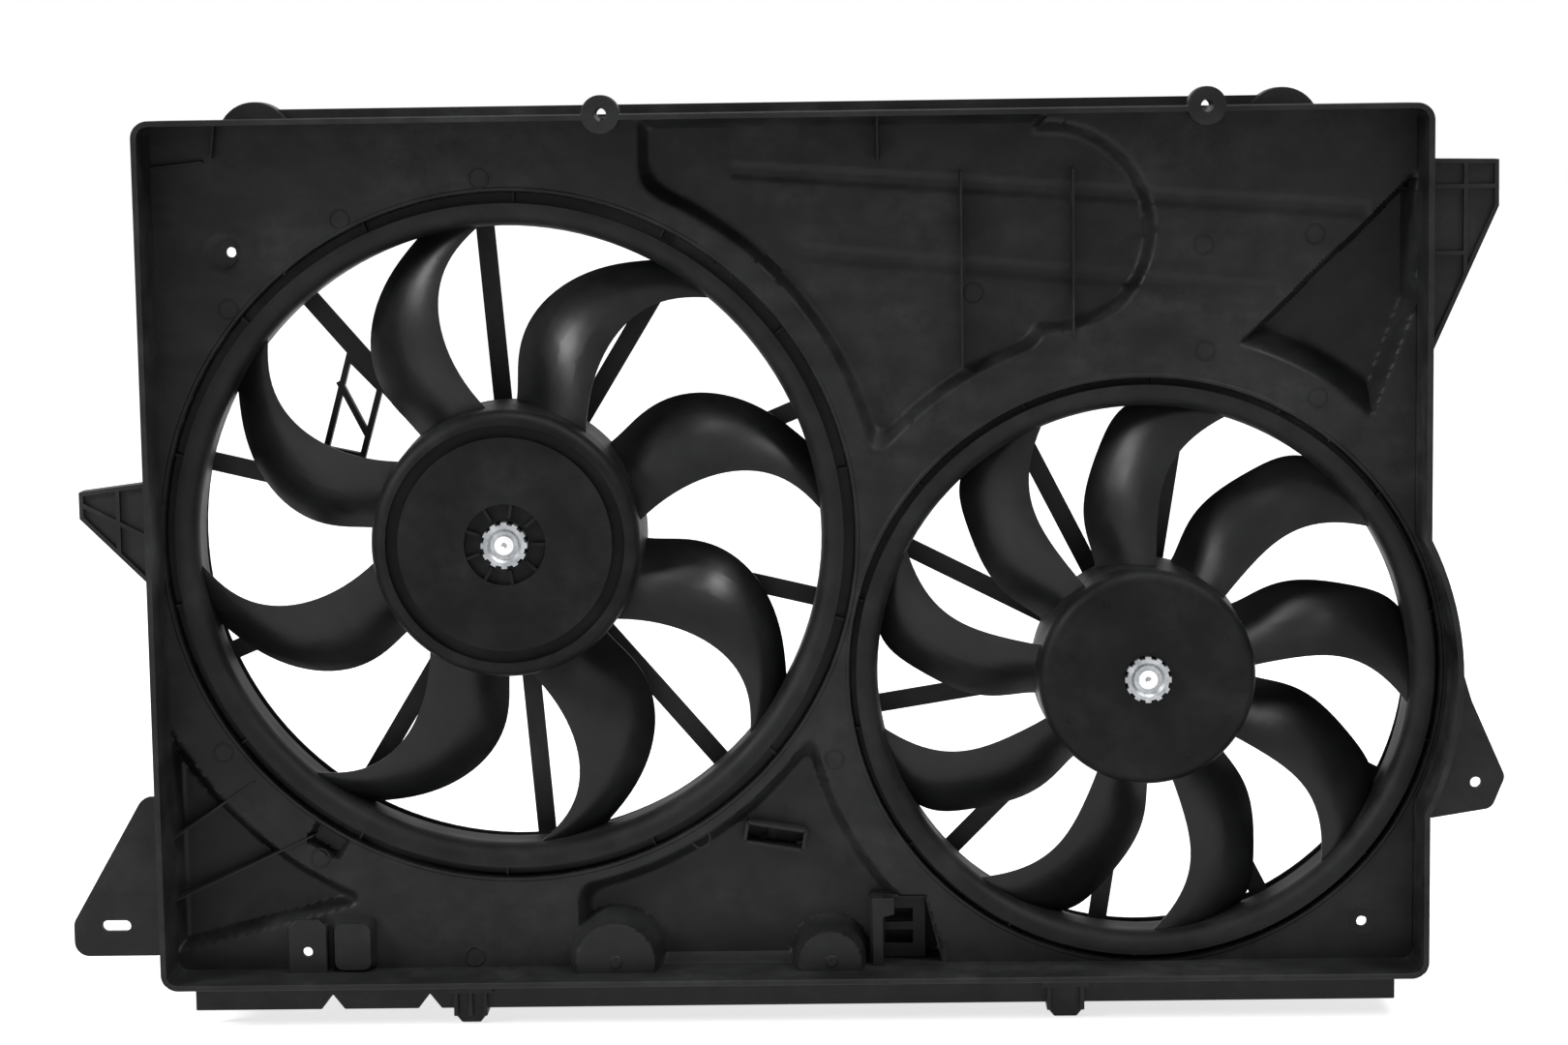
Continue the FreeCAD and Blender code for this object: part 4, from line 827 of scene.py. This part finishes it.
def windowCup():
    look = cupLook
    wall, low, back = look["wall"], look["windowLow"], look["windowBack"]
    left, right, top, lean = floorLook["window"]
    front = floorLook["front"] + look["sunk"]
    lowRight = right + (top - low) * lean
    middle = (low + top) / 2
    corners = ((left, top), (right, top), (lowRight, low), (left, low))
    return cupWalls(corners, wall, front, front - look["sunk"], back) + [
        bar(left, middle, lowRight, middle, top - low, back - wall, back)]


def makeCups():
    # closed cups behind the vent and the catch window
    addShapes("floorPockets", ventCup() + windowCup())


bossDotLook = {
    "at": ((-95.0, -221.0, 3.4), (20.5, -221.8, 3.2)), "rise": 0.5, "shoulder": 0.1, "bevel": 0.4,
    "core": 0.05, "steps": 36,
}


def makeBossDots():
    # a round dot on each half-round boss
    look = bossDotLook
    y = floorLook["front"] - floorLook["bossRise"]
    top, foot = y - look["rise"], y + look["rise"]
    shapes = []
    for x, z, r in look["at"]:
        profile = [(look["core"], top), (r - look["bevel"], top), (r, y - look["shoulder"]), (r, foot),
                   (look["core"], foot)]
        shapes.append(turnedRing((x, z), profile, look["steps"]))
    addShapes("bossDots", shapes, smoothAngle=40)


tabLook = {
    "front": 17.4, "back": 20.0,
    "left": ((-335.5, 40.0), (-372.0, 35.0), (-372.0, 22.5), (-335.5, -14.5)),
    "right": ((335.5, 200.0), (370.5, 199.3), (370.7, 176.8), (335.5, 96.0)),
}


def makeTabFaces():
    # the thin faces between the webs of the two side tabs
    look = tabLook
    faces = [(0, 1, 2, 3), (7, 6, 5, 4)] + [(k, (k + 1) % 4, (k + 1) % 4 + 4, k + 4) for k in range(4)]
    shapes = []
    for side in ("left", "right"):
        shapes.append(([(x, y, z) for y in (look["front"], look["back"]) for x, z in look[side]], faces))
    addShapes("tabFaces", shapes)


makeTrayFloor()
makeOpeningEdges()
makeFloorRibs()
makeGapRibs()
makeHubDots()
makeEjectorMarks()
makeLug()
makeCups()
makeBossDots()
makeTabFaces()
print("tray floor made")


softLook = {
    "rim_top": 0.9, "rim_right": 0.9, "rim_bottom": 0.9, "rim_left": 0.9,
    "left_barrel": 0.6, "right_barrel": 0.6, "left_struts": 0.5, "right_struts": 0.5,
    "left_motor_ring": 0.5, "right_motor_ring": 0.5, "window_latch": 0.4, "left_brace": 0.6,
}
webbed = ("rim_left", "rim_right")  # their tabs have closed rings of webs, which can't merge into one face
mergeLook = {"gap": 0.00001, "angle": 1.0}


def makeSoftened(nodeName, width):
    # a copy of a moulded piece with its flat faces merged and its edges rounded
    mesh = nodes[nodeName].data.copy()
    bm = bmesh.new()
    bm.from_mesh(mesh)
    bmesh.ops.remove_doubles(bm, verts=bm.verts, dist=mergeLook["gap"])
    if nodeName not in webbed:
        flat = math.radians(mergeLook["angle"])
        bmesh.ops.dissolve_limit(bm, angle_limit=flat, verts=bm.verts, edges=bm.edges)
    bm.to_mesh(mesh)
    bm.free()
    piece = addPiece("soft_" + nodeName, mesh, "shroud", "shroud", 30)
    roundEdges(piece, width)
    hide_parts(nodeName)


for nodeName, width in softLook.items():
    makeSoftened(nodeName, width)
print("moulded pieces softened")


stage = {
    "floorDrop": 0.0008, "floorSize": 30.0, "floorColour": (0.9, 0.9, 0.9), "floorRough": 0.9,
    "floorSpecular": 0.1, "seenWhite": 0.72, "nearReach": 0.5, "farReach": 1.6, "fill": 0.13,
}


def anyRay(tree, kinds):
    # 1 for a ray of any of these kinds
    path = tree.nodes.new("ShaderNodeLightPath")
    seen = path.outputs[kinds[0]]
    for kind in kinds[1:]:
        seen = mathNode(tree, "MAXIMUM", seen, path.outputs[kind])
    return seen


def floorFinish():
    # the camera and reflections see the floor lifted towards white, all white far off; its shadow stays
    mat, tree, shader = nodeTree("studioFloorFinish")
    shader.inputs["Base Color"].default_value = (*stage["floorColour"], 1)
    shader.inputs["Roughness"].default_value = stage["floorRough"]
    shader.inputs["Specular IOR Level"].default_value = stage["floorSpecular"]
    shader.inputs["Emission Color"].default_value = (1, 1, 1, 1)
    far = tree.nodes.new("ShaderNodeVectorMath")
    far.operation = "LENGTH"
    tree.links.new(tree.nodes.new("ShaderNodeNewGeometry").outputs["Position"], far.inputs[0])
    rise = mapRange(tree, far.outputs["Value"], stage["nearReach"], stage["farReach"],
                    stage["seenWhite"], 1.0)
    lift = mathNode(tree, "MULTIPLY", anyRay(tree, ("Is Camera Ray", "Is Glossy Ray")), rise)
    tree.links.new(lift, shader.inputs["Emission Strength"])
    return mat


def makeFloor():
    z = cadBounds[0].z - stage["floorDrop"]
    half = stage["floorSize"] / 2
    mesh = bpy.data.meshes.new("studioFloor")
    mesh.from_pydata([(-half, -half, z), (half, -half, z), (half, half, z), (-half, half, z)], [],
                     [(0, 1, 2, 3)])
    mesh.materials.append(floorFinish())
    floor = bpy.data.objects.new("studioFloor", mesh)
    bpy.context.collection.objects.link(floor)


def makeWorld():
    # plain soft fill for the object, white for the camera, reflections and what is seen through glass
    world = bpy.data.worlds.new("studioWorld")
    bpy.context.scene.world = world
    world.use_nodes = True
    tree = world.node_tree
    back = tree.nodes["Background"]
    back.inputs["Color"].default_value = (1, 1, 1, 1)
    seen = anyRay(tree, ("Is Camera Ray", "Is Transmission Ray", "Is Glossy Ray"))
    tree.links.new(mapRange(tree, seen, 0.0, 1.0, stage["fill"], 1.0), back.inputs["Strength"])


lamps = {
    "keyLamp": {"at": (1.6, -0.9, 2.1), "size": 0.6, "power": 36.0},
    "fillLamp": {"at": (-2.1, -1.1, 1.2), "size": 0.7, "power": 48.0},
    "topLamp": {"at": (0.1, -0.3, 2.3), "size": 1.0, "power": 40.0},
}


def makeLamps():
    # square lamps, all aimed at the middle of the shroud
    for name, look in lamps.items():
        data = bpy.data.lights.new(name, "AREA")
        data.shape = "SQUARE"
        data.size = look["size"]
        data.energy = look["power"]
        lamp = bpy.data.objects.new(name, data)
        lamp.location = look["at"]
        lamp.rotation_euler = (-lamp.location).to_track_quat("-Z", "Y").to_euler()
        bpy.context.collection.objects.link(lamp)


camera = {
    "at": (0.0316, -1.8295, 0.2383), "yaw": -1.028, "pitch": -6.888, "roll": -0.852,
    "lens": 81.16, "sensor": 36.0,
}


def makeCamera():
    yaw, pitch, roll = (math.radians(camera[key]) for key in ("yaw", "pitch", "roll"))
    look = Vector((math.sin(yaw) * math.cos(pitch), math.cos(yaw) * math.cos(pitch), math.sin(pitch)))
    right = Vector((math.cos(yaw), -math.sin(yaw), 0))
    up = right.cross(look)
    right = right * math.cos(roll) + up * math.sin(roll)
    up = right.cross(look)
    data = bpy.data.cameras.new("studioCamera")
    data.lens = camera["lens"]
    data.sensor_width = camera["sensor"]
    cam = bpy.data.objects.new("studioCamera", data)
    turn = Matrix((right, up, -look)).transposed().to_4x4()
    cam.matrix_world = Matrix.Translation(camera["at"]) @ turn
    bpy.context.collection.objects.link(cam)
    bpy.context.scene.camera = cam


makeFloor()
makeWorld()
makeLamps()
makeCamera()
bpy.context.scene.view_settings.view_transform = "Standard"
print("stage, light and camera set")
